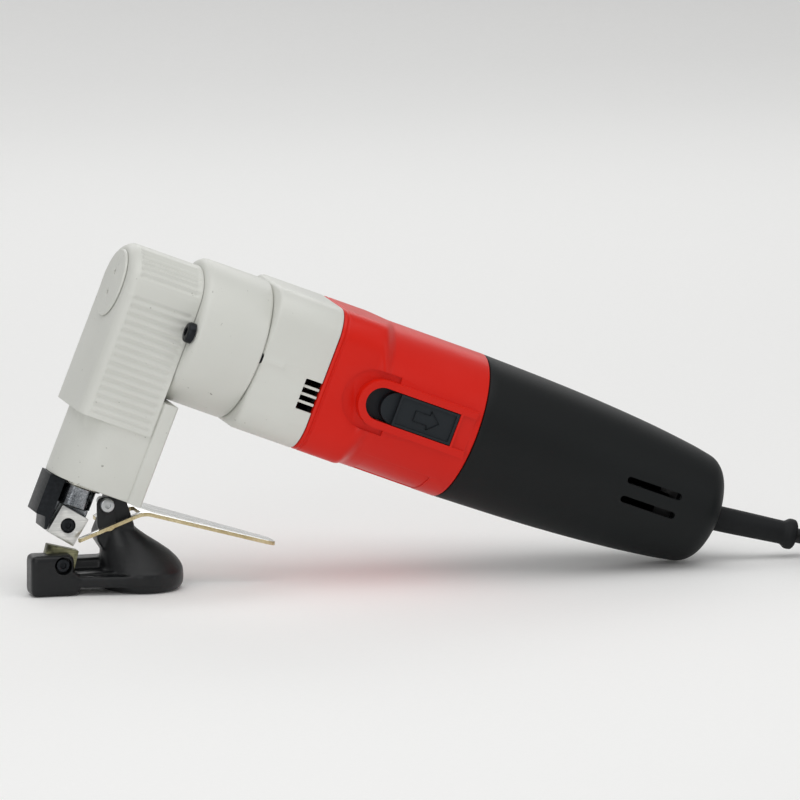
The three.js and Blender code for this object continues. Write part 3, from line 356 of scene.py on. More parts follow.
def stove_enamelled_casting(name="grey_stove_enamel_on_die_casting", light="#dcddd7", dark="#cfd0c9"):
    """Die-cast aluminium under light grey stove enamel: satin, with a faint orange peel and dust in its dips."""
    material, tree, shader, coords = new_material(name, IOR=1.5, Coat_Weight=0.12, Coat_Roughness=0.35)
    cloud = put(tree, "ShaderNodeTexNoise", {"Vector": coords, "Scale": per_metre(38), "Detail": 4.0})
    peel = put(tree, "ShaderNodeTexNoise", {"Vector": coords, "Scale": per_metre(1.3), "Detail": 2.0})
    speck = put(tree, "ShaderNodeTexNoise", {"Vector": coords, "Scale": per_metre(2.6), "Detail": 6.0})
    spots = put(tree, "ShaderNodeMapRange", {0: speck.outputs[0], 1: 0.7, 2: 0.78})
    base = tinted(tree, shader, cloud.outputs[0], dark, light)
    grime = put(tree, "ShaderNodeMix", {0: spots.outputs[0], 6: base, 7: linear("#8d8c84")}, data_type="RGBA")
    tree.links.new(grime.outputs[2], shader.inputs["Base Color"])
    tinted(tree, shader, peel.outputs[0], 0.36, 0.52, "Roughness")
    raised(tree, shader, peel.outputs[0], 0.035)
    return material


def moulded_nylon(name, light, dark, gloss, grain_mm=0.9, depth_mm=0.02, scuff="#ffffff", scuff_share=0.0):
    """Glass-filled nylon from a spark-eroded mould: even colour, fine grain, slightly cloudy gloss."""
    material, tree, shader, coords = new_material(name, IOR=1.53, Specular_IOR_Level=0.22)
    cloud = put(tree, "ShaderNodeTexNoise", {"Vector": coords, "Scale": per_metre(55), "Detail": 3.0})
    grain = put(tree, "ShaderNodeTexNoise", {"Vector": coords, "Scale": per_metre(grain_mm), "Detail": 2.0})
    base = tinted(tree, shader, cloud.outputs[0], dark, light)
    if scuff_share:
        rubbed = put(tree, "ShaderNodeTexNoise", {"Vector": coords, "Scale": per_metre(7), "Detail": 9.0,
                                                  "Roughness": 0.75})
        marks = put(tree, "ShaderNodeMapRange", {0: rubbed.outputs[0], 1: 0.66, 2: 0.8, 4: scuff_share})
        worn = put(tree, "ShaderNodeMix", {0: marks.outputs[0], 6: base, 7: linear(scuff)}, data_type="RGBA")
        tree.links.new(worn.outputs[2], shader.inputs["Base Color"])
    tinted(tree, shader, grain.outputs[0], gloss - 0.05, gloss + 0.07, "Roughness")
    raised(tree, shader, grain.outputs[0], depth_mm)
    return material


def extruded_pvc(name="cord_pvc_extruded"):
    """PVC sheath of a mains lead: nearly black, faintly ribbed by the die, dull sheen."""
    material, tree, shader, coords = new_material(name, IOR=1.5, Roughness=0.5)
    cloud = put(tree, "ShaderNodeTexNoise", {"Vector": coords, "Scale": per_metre(16), "Detail": 4.0})
    fine = put(tree, "ShaderNodeTexNoise", {"Vector": coords, "Scale": per_metre(0.8)})
    tinted(tree, shader, cloud.outputs[0], "#0b0c0d", "#151617")
    raised(tree, shader, fine.outputs[0], 0.02)
    return material


def ground_metal(name, light, dark, rough, along, pitch_mm=0.45, depth_mm=0.006, stain=None):
    """Steel finished on a surface grinder: fine parallel scratches along one direction, bright and cool."""
    material, tree, shader, coords = new_material(name, Metallic=1.0)
    across = per_metre(pitch_mm)
    scale = tuple(across * (0.03 if i == along else 1.0) for i in range(3))
    lines = put(tree, "ShaderNodeMapping", {"Vector": coords, "Scale": scale})
    scratch = put(tree, "ShaderNodeTexNoise", {"Vector": lines.outputs[0], "Scale": 1.0, "Detail": 3.0})
    cloud = put(tree, "ShaderNodeTexNoise", {"Vector": coords, "Scale": per_metre(9), "Detail": 5.0})
    both = put(tree, "ShaderNodeMath", {0: scratch.outputs[0], 1: cloud.outputs[0]}, operation="MULTIPLY")
    share = put(tree, "ShaderNodeMapRange", {0: both.outputs[0], 1: 0.12, 2: 0.42})
    base = tinted(tree, shader, share.outputs[0], dark, light)
    if stain:
        patch = put(tree, "ShaderNodeTexNoise", {"Vector": coords, "Scale": per_metre(5), "Detail": 8.0})
        patches = put(tree, "ShaderNodeMapRange", {0: patch.outputs[0], 1: 0.5, 2: 0.66})
        stained = put(tree, "ShaderNodeMix", {0: patches.outputs[0], 6: base, 7: linear(stain)}, data_type="RGBA")
        tree.links.new(stained.outputs[2], shader.inputs["Base Color"])
    tinted(tree, shader, scratch.outputs[0], rough - 0.06, rough + 0.1, "Roughness")
    raised(tree, shader, scratch.outputs[0], depth_mm)
    return material


def black_enamelled_iron(name="black_enamel_on_cast_iron_and_painted_dark_reflection"):
    """Cast iron under black enamel: lumpy, half glossy, rubbed grey where the sheet slides over it. On the guard
    plate's ear it is painted dark reflection on the polished sheet.
    """
    material, tree, shader, coords = new_material(name, IOR=1.5, Specular_IOR_Level=0.3, Coat_Weight=0.12, Coat_Roughness=0.25)
    lumps = put(tree, "ShaderNodeTexNoise", {"Vector": coords, "Scale": per_metre(2.4), "Detail": 5.0})
    rub = put(tree, "ShaderNodeTexNoise", {"Vector": coords, "Scale": per_metre(6.5), "Detail": 9.0,
                                           "Roughness": 0.7})
    worn = put(tree, "ShaderNodeMapRange", {0: rub.outputs[0], 1: 0.64, 2: 0.78, 4: 0.5})
    base = tinted(tree, shader, lumps.outputs[0], "#0b0c0e", "#17191b")
    shown = put(tree, "ShaderNodeMix", {0: worn.outputs[0], 6: base, 7: linear("#45484a")}, data_type="RGBA")
    tree.links.new(shown.outputs[2], shader.inputs["Base Color"])
    tree.links.new(worn.outputs[0], shader.inputs["Metallic"])
    tinted(tree, shader, lumps.outputs[0], 0.3, 0.5, "Roughness")
    raised(tree, shader, lumps.outputs[0], 0.12)
    return material


def milled_black_steel(name="blackened_milled_steel"):
    """Steel blackened after milling: satin black with the cutter's curved marks showing through."""
    material, tree, shader, coords = new_material(name, Metallic=0.75)
    marks = put(tree, "ShaderNodeTexWave", {"Vector": coords, "Scale": per_metre(7), "Distortion": 3.0,
                                            "Detail": 3.0}, wave_type="RINGS")
    fleck = put(tree, "ShaderNodeTexNoise", {"Vector": coords, "Scale": per_metre(1.6), "Detail": 8.0})
    tinted(tree, shader, fleck.outputs[0], "#111316", "#2d3034")
    tinted(tree, shader, fleck.outputs[0], 0.3, 0.52, "Roughness")
    raised(tree, shader, marks.outputs[0], 0.04)
    return material


def wound_laminations(name="varnished_laminations"):
    """Stacked electrical steel under varnish: thin dark and light sheets across the motor axis."""
    material, tree, shader, coords = new_material(name, Metallic=0.8, Roughness=0.42)
    level = put(tree, "ShaderNodeMapping", {"Vector": coords, "Rotation": (0, math.asin(-BACK.z), 0)})
    sheets = put(tree, "ShaderNodeTexWave", {"Vector": level.outputs[0], "Scale": per_metre(6.3)})
    tinted(tree, shader, sheets.outputs[0], "#3a2b22", "#6a6a6a")
    raised(tree, shader, sheets.outputs[0], 0.1)
    return material


def speckled_metal(name, light, dark, rough, metallic=1.0, grain_mm=0.8):
    """Turned, sintered or plated metal: fine grain with a little tarnish."""
    material, tree, shader, coords = new_material(name, Metallic=metallic)
    grain = put(tree, "ShaderNodeTexNoise", {"Vector": coords, "Scale": per_metre(grain_mm), "Detail": 4.0})
    cloud = put(tree, "ShaderNodeTexNoise", {"Vector": coords, "Scale": per_metre(6), "Detail": 5.0})
    tinted(tree, shader, cloud.outputs[0], dark, light)
    tinted(tree, shader, grain.outputs[0], rough - 0.05, rough + 0.1, "Roughness")
    raised(tree, shader, grain.outputs[0], 0.012)
    return material


GREY = stove_enamelled_casting()
RED = moulded_nylon("housing_red_glass_filled_nylon", "#dc1f0e", "#cc1607", 0.36, scuff="#f2988a", scuff_share=0.1)
BLACK = moulded_nylon("cover_black_soft_nylon", "#101415", "#0a0d0e", 0.52, 0.7, 0.03, "#363c3e", 0.1)
SLIDER = moulded_nylon("switch_black_etched_nylon", "#22282d", "#191e22", 0.5, 0.6, 0.05, "#4c565d", 0.2)
INNER_BLACK = moulded_nylon("inner_black_nylon", "#222426", "#161819", 0.5)
RUBBER = moulded_nylon("guard_black_moulded_rubber", "#1d1f21", "#131415", 0.6, 1.1, 0.03)
PVC = extruded_pvc()
BLACK_ENAMEL_AND_DARK_REFLECTION = black_enamelled_iron()
BLACKENED = milled_black_steel()
BLADE = ground_metal("upper_blade_ground_tool_steel", "#f2f2ef", "#c4c5c3", 0.3, 0)
OILED_BLADE = ground_metal("lower_blade_oiled_tool_steel", "#a5a483", "#5f5f48", 0.34, 0, stain="#35352a")
POLISHED = ground_metal("guard_plate_polished_stainless", "#f4f4f2", "#dedfdd", 0.16, 1, 1.1, 0.003)
CUT_EDGE = ground_metal("guard_plate_sheared_edge", "#e6d9b4", "#b8a679", 0.4, 1, 0.6, 0.05)
RAM_STEEL = ground_metal("ram_hardened_cylinder_ground_steel", "#a9adb1", "#4a4e53", 0.18, 1, 0.5, 0.003)
GEAR_STEEL = speckled_metal("machined_gear_steel", "#a2a4a6", "#7c7e80", 0.33)
BRONZE = speckled_metal("sintered_bronze", "#b58a52", "#8d693a", 0.42)
COPPER = speckled_metal("turned_copper", "#c4774a", "#9a5833", 0.33)
ZINC = speckled_metal("zinc_plated_steel", "#d0d2d2", "#a3a6a8", 0.3)
CARBON = speckled_metal("pressed_carbon", "#2c2c2c", "#1a1a1a", 0.7, 0.1)
LAMINATED = wound_laminations()
BUSH_STEEL = speckled_metal("ram_bush_turned_steel", "#dcdcd6", "#a8a79c", 0.25)


# ---------------------------------------------------------------- sizes read from the frame
def span(node, place=TOOL):
    """Lowest and highest corner of a frame node in one of the two working frames, in millimetres."""
    back = place.inverted()
    corners = [back @ vertex.co for vertex in frame["nodes"][node].data.vertices]
    low = Vector(min(c[i] for c in corners) for i in range(3))
    high = Vector(max(c[i] for c in corners) for i in range(3))
    return low, high


HEAD_LOW, HEAD_HIGH = span("head_housing")
CAP_LOW, CAP_HIGH = span("head_front_cap")
RING_LOW, RING_HIGH = span("mounting_ring")
CASE_LOW, CASE_HIGH = span("gear_case")
COVER_LOW, COVER_HIGH = span("rear_cover")
GUARD_LOW, GUARD_HIGH = span("cord_guard", GROUND)
JOINT_GAP = 0.3
RED_FRONT = CASE_HIGH.x + JOINT_GAP
RED_REAR = COVER_LOW.x - JOINT_GAP
CASE_CORNER = 14
BARREL = 35.4
CRANK_Z = (CAP_LOW.z + CAP_HIGH.z) / 2


# ---------------------------------------------------------------- cord, tie and plug
CORD_RADIUS = 3.5
CORD_LIE = CORD_RADIUS + 0.1
GUARD_LENGTH, GUARD_RISE, GUARD_Z = 41.5, 7, -1
FALL = math.asin(-BACK.z) - math.radians(GUARD_RISE)
GUARD_ROOT = GROUND.inverted() @ TOOL @ Vector((COVER_HIGH.x, 0, GUARD_Z))
GUARD_TIP = GUARD_ROOT + GUARD_LENGTH * Vector((math.cos(FALL), 0, -math.sin(FALL)))
LAYER = 6.95
COIL_LOW, COIL_HIGH = span("cord_coil", GROUND)
COIL_X, COIL_Y = (COIL_LOW.x + COIL_HIGH.x) / 2, (COIL_LOW.y + COIL_HIGH.y) / 2
TURNS = [(COIL_HIGH.x - COIL_LOW.x) / 2 - CORD_RADIUS - 7 * step for step in range(3)]


def eased(value, start, end):
    share = min(max((value - start) / (end - start), 0), 1)
    return share * share * (3 - 2 * share)


def coil_points():
    """The cord's centreline on the coil: three layers wound inwards, outwards and inwards again."""
    change, crossing, climbing = 100, 170, 150  # degrees: where a change starts, and how long it takes
    entry, leave = -90, 7 * 360 + 72
    plug_low, plug_high = span("plug_body", GROUND)
    last_rise = (plug_low.z + plug_high.z) / 2 - CORD_LIE - 2 * LAYER
    points = []
    for angle in range(entry, leave + 1, 6):
        radius, height = TURNS[0], CORD_LIE
        for turn, inwards in ((0, 1), (1, 1), (3, -1), (4, -1), (6, 1)):
            start = change + 360 * turn
            radius -= 2 * CORD_RADIUS * inwards * eased(angle, start, start + crossing)
        for turn in (2, 5):
            start = change + 360 * turn
            height += LAYER * eased(angle, start, start + climbing)
        height += last_rise * eased(angle, leave - 120, leave)
        a = math.radians(angle)
        points.append((COIL_X + radius * math.cos(a), COIL_Y - radius * math.sin(a), height))
    return points


def make_cord():
    plug_low, plug_high = span("plug_body", GROUND)
    plug_y, plug_z = (plug_low.y + plug_high.y) / 2, (plug_low.z + plug_high.z) / 2
    lead_end = span("cord_lead", GROUND)[1].x
    # The lead falls from the guard's tip to the ground and swings onto the coil's outer turn.
    route = [GUARD_TIP + Vector((along * math.cos(FALL), 0, -along * math.sin(FALL))) for along in (0.3, 3.5)]
    route += [
        (GUARD_TIP.x + 7, 0, GUARD_TIP.z - 1.75),
        (GUARD_TIP.x + 14, 0, GUARD_TIP.z - 3.3),
        (lead_end, 0, GUARD_TIP.z - 4),
        (lead_end + 10, 2, CORD_LIE + 1.2),
        (lead_end + 17, 4, CORD_LIE + 0.3),
        (lead_end + 26, 6.2, CORD_LIE),
    ]
    route += coil_points()
    route += [(plug_high.x + 2, plug_y + 0.1, plug_z), (plug_high.x - 6, plug_y, plug_z)]
    path = [GROUND @ Vector(point) for point in route]
    curve = bpy.data.curves.new("mains_cord", "CURVE")
    curve.dimensions = "3D"
    curve.bevel_depth = CORD_RADIUS * MM
    curve.bevel_resolution = 4
    curve.resolution_u = 3
    curve.use_fill_caps = True
    spline = curve.splines.new("BEZIER")
    spline.bezier_points.add(len(path) - 1)
    for point, place in zip(spline.bezier_points, path):
        point.co = place
        point.handle_left_type = point.handle_right_type = "AUTO"
    curve.materials.append(PVC)
    cord = bpy.data.objects.new("mains_cord", curve)
    scene.collection.objects.link(cord)
    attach(cord, "housing")
    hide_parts("cord_lead", "cord_coil")
    return cord, path


def make_plug():
    low, high = span("plug_body", GROUND)
    y, z = (low.y + high.y) / 2, (low.z + high.z) / 2
    sections = [
        (high.x, 4.6, 4.6, 4.6), (high.x - 5, 5.0, 5.0, 5.0), (high.x - 9, 6.2, 5.8, 5.0),
        (high.x - 13, 8.6, 6.4, 4.4), (high.x - 18, 9.8, 6.9, 4.2), (low.x + 2.2, 10, 7, 4.2),
        (low.x + 0.7, 9.6, 6.6, 4), (low.x, 8.8, 5.8, 3.6),
    ]
    bm = skin(bmesh.new(), [ring(hy, hz, c, x, y, z, per_side=3) for x, hy, hz, c in sections])
    body = loose_object("plug_shell", bm, GROUND)
    for back in (1.5, 4, 6.5):
        groove = turned([(high.x - back - 0.5, 3.9), (high.x - back - 0.5, 9), (high.x - back + 0.5, 9),
                         (high.x - back + 0.5, 3.9)], 40)
        combine(body, moved(groove, (0, y, z)), GROUND)
    soften(body, 0.35, 2, 30)
    put_on(body, "housing", INNER_BLACK, ["plug_body"])
    pieces = [body]
    for number in (1, 2):
        pin_low, pin_high = span(f"plug_pin_{number}", GROUND)
        radius = (pin_high.z - pin_low.z) / 2
        length = pin_high.x - pin_low.x
        pin = turned([(0, 0), (0, radius * 0.45), (0.5, radius * 0.85), (1.3, radius), (length, radius),
                      (length, 0)], 24)
        made = loose_object(f"contact_pin_{number}", moved(pin, (pin_low.x, (pin_low.y + pin_high.y) / 2, z)), GROUND)
        put_on(made, "housing", ZINC, [f"plug_pin_{number}"])
        pieces.append(made)
    return pieces


def make_tie():
    """A narrow strap round the coil that holds its turns together."""
    middle = TURNS[1]
    half = 10.6
    outer = ring(half + 0.7, half + 0.55, 3.4, 0, 0, 0)
    inner = ring(half - 0.2, half - 0.1, 2.8, 0, 0, 0)
    sections = []
    for x, outline in ((-2.6, inner), (-2.6, outer), (2.6, outer), (2.6, inner), (-2.6, inner)):
        sections.append([Vector((x, p.y, p.z)) for p in outline])
    bm = skin(bmesh.new(), sections, (False, False))
    bmesh.ops.remove_doubles(bm, verts=bm.verts, dist=1e-3)
    head = block(-3.4, 3.4, half, half + 3.2, 2, 8, 0.6, 2)
    added(bm, head)
    angle = 150
    a = math.radians(angle)
    # The strap's own X is along the turns, so it is turned to the tangent of the coil.
    moved(bm, (0, 0, 0), 90 - angle, "Z")
    moved(bm, (COIL_X + middle * math.cos(a), COIL_Y - middle * math.sin(a), half + 0.7))
    made = loose_object("coil_tie", bm, GROUND)
    soften(made, 0.15, 2, 40)
    return put_on(made, "housing", INNER_BLACK)


make_camera()
make_studio()
cord, cord_path = make_cord()
plug_pieces = make_plug()
make_tie()


# ---------------------------------------------------------------- grey gear head
SKIRT, HEAD_HALF, HEAD_CROWN, HEAD_FRONT = -52, 24.6, 29.8, -19
HEAD_CORNER, LOWER_CORNER, LOWER_FRONT, LOWER_HALF = 5, 20, -16.4, 23.4
RIB_PITCH, RIB_DEPTH = 4.1, 1.0
STRIP_X = 18  # front edge of the strip up the rear of the lower head


def worn_in(x, front, radius):
    """How far a rounded front edge of this radius pulls a face in at x."""
    left = radius - (x - front)
    return 0.0 if left <= 0 else radius - math.sqrt(max(radius * radius - left * left, 0))


def rib_depth(x, run):
    """Depth below the ridges of the cast grip ribs, along a path from the skirt over the crown."""
    ends = eased(x, HEAD_FRONT + 4, HEAD_FRONT + 6) * (1 - eased(x, 14.2, 16.4))
    low_group = eased(run, 1.5, 3) * (1 - eased(run, 60, 62))
    high_group = eased(run, 68, 70) * (1 - eased(run, 92, 94))
    wave = 0.5 - 0.5 * math.cos(math.tau * run / RIB_PITCH)
    return RIB_DEPTH * ends * (low_group + high_group) * wave


def head_outline(x):
    """The ribbed upper head across X, from the near side of the skirt over the crown to the far side."""
    side = HEAD_HALF - worn_in(x, HEAD_FRONT, HEAD_CORNER)
    crown = HEAD_CROWN - worn_in(x, HEAD_FRONT, 5)
    spring = 9.0  # height above the motor axis where the straight sides end
    points = []
    steps = 122
    for step in range(steps):
        z = SKIRT + (spring - SKIRT) * step / steps
        points.append((side - rib_depth(x, z - SKIRT), z))
    turns = 64
    for step in range(turns + 1):
        a = math.radians(90 * step / turns)
        flat = side / max(math.cos(a), 1e-6)
        sine = spring * math.sin(a)
        arc = -sine + math.sqrt(sine * sine + crown * crown - spring * spring)
        reach = (flat ** -14 + arc ** -14) ** (-1 / 14)
        run = spring - SKIRT + math.radians(90 * step / turns) * 27
        reach -= rib_depth(x, run)
        points.append((reach * math.cos(a), spring + reach * math.sin(a)))
    near = [Vector((x, -y, z)) for y, z in points]
    far = [Vector((x, y, z)) for y, z in reversed(points[:-1])]
    under = 12
    closing = [Vector((x, far[-1].y + (near[0].y - far[-1].y) * i / under, SKIRT)) for i in range(1, under)]
    return near + far + closing


def rod(x0, x1, radius, y=0.0, z=0.0, steps=64):
    return moved(turned([(x0, 0), (x0, radius), (x1, radius), (x1, 0)], steps), (0, y, z))


def upright(bm, x, y, z):
    """Turns a shape made along X so that it points down the ram axis."""
    return moved(bm, (x, y, z), 90)


def make_head():
    fine = [HEAD_FRONT + HEAD_CORNER * (1 - math.cos(math.radians(a))) for a in range(0, 91, 9)]
    fine += [HEAD_FRONT + 4, HEAD_FRONT + 4.7, HEAD_FRONT + 5.3, HEAD_FRONT + 6, -6, 4, 14, 14.8, 15.6, 16.4, HEAD_HIGH_X]
    xs = sorted({round(x, 3) for x in fine if x <= HEAD_HIGH_X})
    head = loose_object("head_casting", skin(bmesh.new(), [head_outline(x) for x in xs]), TOOL)

    steps = [LOWER_FRONT + LOWER_CORNER * (1 - math.cos(math.radians(a))) for a in range(0, 91, 9)]
    steps += [HEAD_HIGH.x]
    middle, half = (HEAD_LOW.z - 34.6) / 2, (-34.6 - HEAD_LOW.z) / 2
    outlines = [
        ring(LOWER_HALF - worn_in(x, LOWER_FRONT, LOWER_CORNER), half, 0.8, x, 0, middle, 3) for x in steps
    ]
    lower = skin(bmesh.new(), outlines)
    combine(head, lower, TOOL, "UNION")
    strip = block(STRIP_X, HEAD_HIGH.x, -HEAD_HALF, HEAD_HALF, HEAD_LOW.z, -34.6, 1.6, 4, 2)
    combine(head, strip, TOOL, "UNION")
    soften(head, 0.7, 3, 40)
    for side in (-1, 1):
        combine(head, rod(HEAD_HIGH_X - 4.4, HEAD_HIGH_X + 1, 5.3, side * 29.2, 1), TOOL)
    combine(head, rod(HEAD_FRONT - 3, -16.4, 14.5, 0, CRANK_Z), TOOL)
    combine(head, rod(-17.5, -8.8, 10.8, 0, CRANK_Z), TOOL)
    combine(head, block(-9.8, 9.8, -13, 13, -20, 24.4), TOOL)
    combine(head, rod(8.8, HEAD_HIGH_X + 1, 10.8, 0, CRANK_Z), TOOL)
    combine(head, rod(11, HEAD_HIGH_X + 1, 4.45, 0, -16, 32), TOOL)
    combine(head, upright(rod(19, 61, 9.3), 0, 0, 0), TOOL)
    combine(head, upright(rod(60, 86, 11.1), 0, 0, 0), TOOL)
    combine(head, block(13.2, 22.4, -7.7, 7.7, HEAD_LOW.z - 1, -56.7), TOOL)
    combine(head, rod(13.5, HEAD_HIGH.x + 1, 3.1, 0, -69, 32), TOOL)
    return put_on(head, "housing", GREY, ["head_housing"], 42)


def make_cap():
    face = CAP_LOW.x
    bm = turned([
        (CAP_HIGH.x, 0), (CAP_HIGH.x, 14.2), (face + 1.2, 14.2), (face + 1.2, CAP_RADIUS),
        (face + 0.8, CAP_RADIUS), (face + 0.35, CAP_RADIUS - 0.2), (face + 0.1, CAP_RADIUS - 0.55),
        (face, CAP_RADIUS - 1.1), (face, 0),
    ], 96)
    cap = loose_object("crank_cap", moved(bm, (0, 0, CRANK_Z)), TOOL)
    for z in (-5, 5):
        combine(cap, rod(face - 1, face + 2.2, 1.5, 0, CRANK_Z + z, 24), TOOL)
    soften(cap, 0.18, 2, 40)
    return put_on(cap, "housing", GREY, ["head_front_cap"])


def make_ring():
    x0, x1, r = RING_LOW.x, RING_HIGH.x, RING_RADIUS
    bm = turned([
        (x0, 24), (x0, r - 3.4), (x0 + 0.25, r - 2.1), (x0 + 1.0, r - 1.0), (x0 + 2.1, r - 0.25), (x0 + 3.6, r),
        (x1 - 1.6, r), (x1 - 0.8, r - 0.25), (x1 - 0.2, r - 0.8), (x1, r - 1.6), (x1, r - 4), (x0 + 3.5, r - 4),
        (x0 + 3.5, 24),
    ], 128)
    made = loose_object("mounting_collar", bm, TOOL)
    for side in (-1, 1):
        combine(made, rod(x0 + 0.6, x1 - 0.1, 5, side * 28.2, 1, 40), TOOL, "UNION")
        combine(made, rod(x0 - 1, x1 + 1, 3.1, side * 29.2, 1, 32), TOOL)
        combine(made, rod(x0 - 1, x0 + 4.5, 2.2, side * 15.5, -21.5, 24), TOOL)
    return put_on(made, "housing", GREY, ["mounting_ring"])


def squarish(x, inset=0.0):
    return ring(CASE_HALF_Y - inset, CASE_HALF_Z - inset, CASE_CORNER - inset, x, 0, 0, 14, 8)


def make_gear_case():
    x0, x1 = CASE_LOW.x, CASE_HIGH.x
    outside = [(x0, 2.2), (x0 + 0.3, 1.2), (x0 + 1.0, 0.45), (x0 + 2.2, 0), (x1 - 0.9, 0), (x1 - 0.25, 0.25),
               (x1, 0.9)]
    case = loose_object("gear_case_casting", skin(bmesh.new(), [squarish(x, i) for x, i in outside]), TOOL)
    room = skin(bmesh.new(), [squarish(x, CASE_WALL) for x in (x0 + 5.2, x1 + 1)])
    combine(case, room, TOOL)
    combine(case, rod(x0 + 2, x0 + 7.2, 12.1, 0, 0), TOOL, "UNION")
    for side in (-1, 1):
        combine(case, rod(x0 + 1, x0 + 12.2, 4.9, side * 27.6, 1, 40), TOOL, "UNION")
        combine(case, rod(x0 - 1, x0 + 10.2, 3.1, side * 29.2, 1, 32), TOOL)
    combine(case, rod(x0 - 1, x0 + 20, 9.55), TOOL)
    combine(case, rod(x0 - 1, x0 + 6.2, 4.45, 0, -16, 32), TOOL)
    for side in (-1, 1):
        y0, y1 = sorted((side * (CASE_HALF_Y - CASE_WALL - 1), side * (CASE_HALF_Y + 1)))
        combine(case, block(x1 - 8.4, x1 + 2, y0, y1, VENT_LOW, VENT_TOP, 0.5, 2, 1), TOOL)
    soften(case, 0.25, 2, 50)
    # The bars of the air vents stand back from the wall's face.
    for side in (-1, 1):
        for bar in range(1, 4):
            z = VENT_LOW + (VENT_TOP - VENT_LOW) * bar / 4
            y = side * (CASE_HALF_Y - 2.4)
            slat = block(x1 - 9.4, x1 - 0.1, y - 1.1, y + 1.1, z - 0.65, z + 0.65, 0.3, 2, 0)
            combine(case, slat, TOOL, "UNION")
    return put_on(case, "housing", GREY, ["gear_case"])


CAP_RADIUS = (CAP_HIGH.z - CAP_LOW.z) / 2
HEAD_HIGH_X = RING_LOW.x - JOINT_GAP
RING_RADIUS = RING_HIGH.z
CASE_HALF_Y, CASE_HALF_Z, CASE_WALL = CASE_HIGH.y, CASE_HIGH.z, 3.5
VENT_TOP, VENT_LOW = -0.6, -15.6


# ---------------------------------------------------------------- red motor housing
SLOT_X, SLOT_LENGTH, SLOT_HALF, RIM = 128.8, 46, 8, 3.6
SLOT_FRONT, SLOT_REAR = SLOT_X - SLOT_LENGTH / 2, SLOT_X + SLOT_LENGTH / 2


def tongue(x0, x1, half, y0, y1, arcs=20):
    """A flat piece standing across the tool: half round at its front and square at its rear."""
    centre = x0 + half
    outline = [(x1, -half), (x1, half)]
    for step in range(arcs + 1):
        a = math.radians(90 + 180 * step / arcs)
        outline.append((centre + half * math.cos(a), half * math.sin(a)))
    return plate(outline, y0, y1)


def make_motor_housing():
    x0, x1 = RED_FRONT, RED_REAR
    flange, ramp = x0 + 21, x0 + 30
    sections = [squarish(x0, 0.5), squarish(x0 + 0.5, 0.1), squarish(x0 + 1.4, 0)]
    sections += [squarish(x0 + 2.0, 0.55), squarish(x0 + 2.5, 0.55), squarish(x0 + 3.1, 0)]
    sections += [squarish(flange - 3, 0), squarish(flange, 0)]
    for step in range(1, 9):
        share = step / 8
        bent = eased(share, 0, 1)
        half_y = CASE_HALF_Y + (BARREL - CASE_HALF_Y) * bent
        half_z = CASE_HALF_Z + (BARREL - CASE_HALF_Z) * bent
        corner = CASE_CORNER + (BARREL - 0.05 - CASE_CORNER) * bent
        sections.append(ring(half_y, half_z, corner, flange + (ramp - flange) * share, 0, 0, 14, 8))
    for x, inset in ((x1 - 20, 0), (x1 - 0.5, 0), (x1, 0.5)):
        sections.append(ring(BARREL - inset, BARREL - inset, BARREL - inset - 0.05, x, 0, 0, 14, 8))
    red = loose_object("motor_housing_shell", skin(bmesh.new(), sections), TOOL)

    rim = tongue(SLOT_FRONT - RIM, SLOT_REAR + 8, SLOT_HALF + RIM, -36.9, -26, 28)
    combine(red, rim, TOOL, "UNION")
    scoop = tongue(SLOT_FRONT - RIM - 7, SLOT_FRONT + 14, SLOT_HALF + RIM + 3, -60, -CASE_HALF_Y + 0.9, 28)
    keep = tongue(SLOT_FRONT - RIM + 0.02, SLOT_FRONT + 40, SLOT_HALF + RIM - 0.02, -62, -20, 28)
    cutter = loose_object("scoop", scoop, TOOL)
    combine(cutter, keep, TOOL)
    bm = bmesh.new()
    bm.from_mesh(cutter.data)
    bpy.data.objects.remove(cutter)
    combine(red, bm, Matrix.Identity(4))
    # The raised rim runs out towards the rear, where the barrel is left plain between its two arms.
    combine(red, block(SLOT_REAR + 1.2, SLOT_REAR + 12, -50, -BARREL - 0.02, -SLOT_HALF, SLOT_HALF), TOOL)
    panel = block(120, 152, -40, 0, -60, -BARREL * 0.72, 1.2, 3, 1)
    shell = skin(bmesh.new(), [ring(34.7, 34.7, 34.6, x, 0, 0, 20, 4) for x in (110, 160)])
    panel_cut = loose_object("panel", moved(panel, (0, 0, 0)), TOOL)
    combine(panel_cut, shell, TOOL)
    bm = bmesh.new()
    bm.from_mesh(panel_cut.data)
    bpy.data.objects.remove(panel_cut)
    combine(red, bm, Matrix.Identity(4))
    soften(red, 0.55, 3, 38)

    room = [squarish(x0 - 1, CASE_WALL), squarish(flange, CASE_WALL)]
    for x in (ramp, x1 + 1):
        room.append(ring(BARREL - 3.9, BARREL - 3.9, BARREL - 3.95, x, 0, 0, 14, 8))
    combine(red, skin(bmesh.new(), room), TOOL)
    combine(red, tongue(SLOT_FRONT, SLOT_REAR, SLOT_HALF, -60, -24, 28), TOOL)
    # Room for the slider's base ahead of the slot, inside the wall.
    combine(red, block(SLOT_FRONT - 18, ramp, -30.6, -27.5, -SLOT_HALF, SLOT_HALF), TOOL)
    for side in (-1, 1):
        y0, y1 = sorted((side * 8.6, side * 28.4))
        combine(red, block(168.6, 177, y0, y1, -5, 5, 0.8, 2), TOOL, "UNION")
        y0, y1 = sorted((side * 28, side * 31.2))
        combine(red, block(158.4, 177, y0, y1, -5, 5, 0.8, 2), TOOL, "UNION")
    combine(red, rod(168.6, 177, 10.4), TOOL, "UNION")
    combine(red, rod(169.3, 178, 8.05), TOOL)
    combine(red, rod(167, 178, 5), TOOL)
    return put_on(red, "housing", RED, ["motor_housing"], 34)


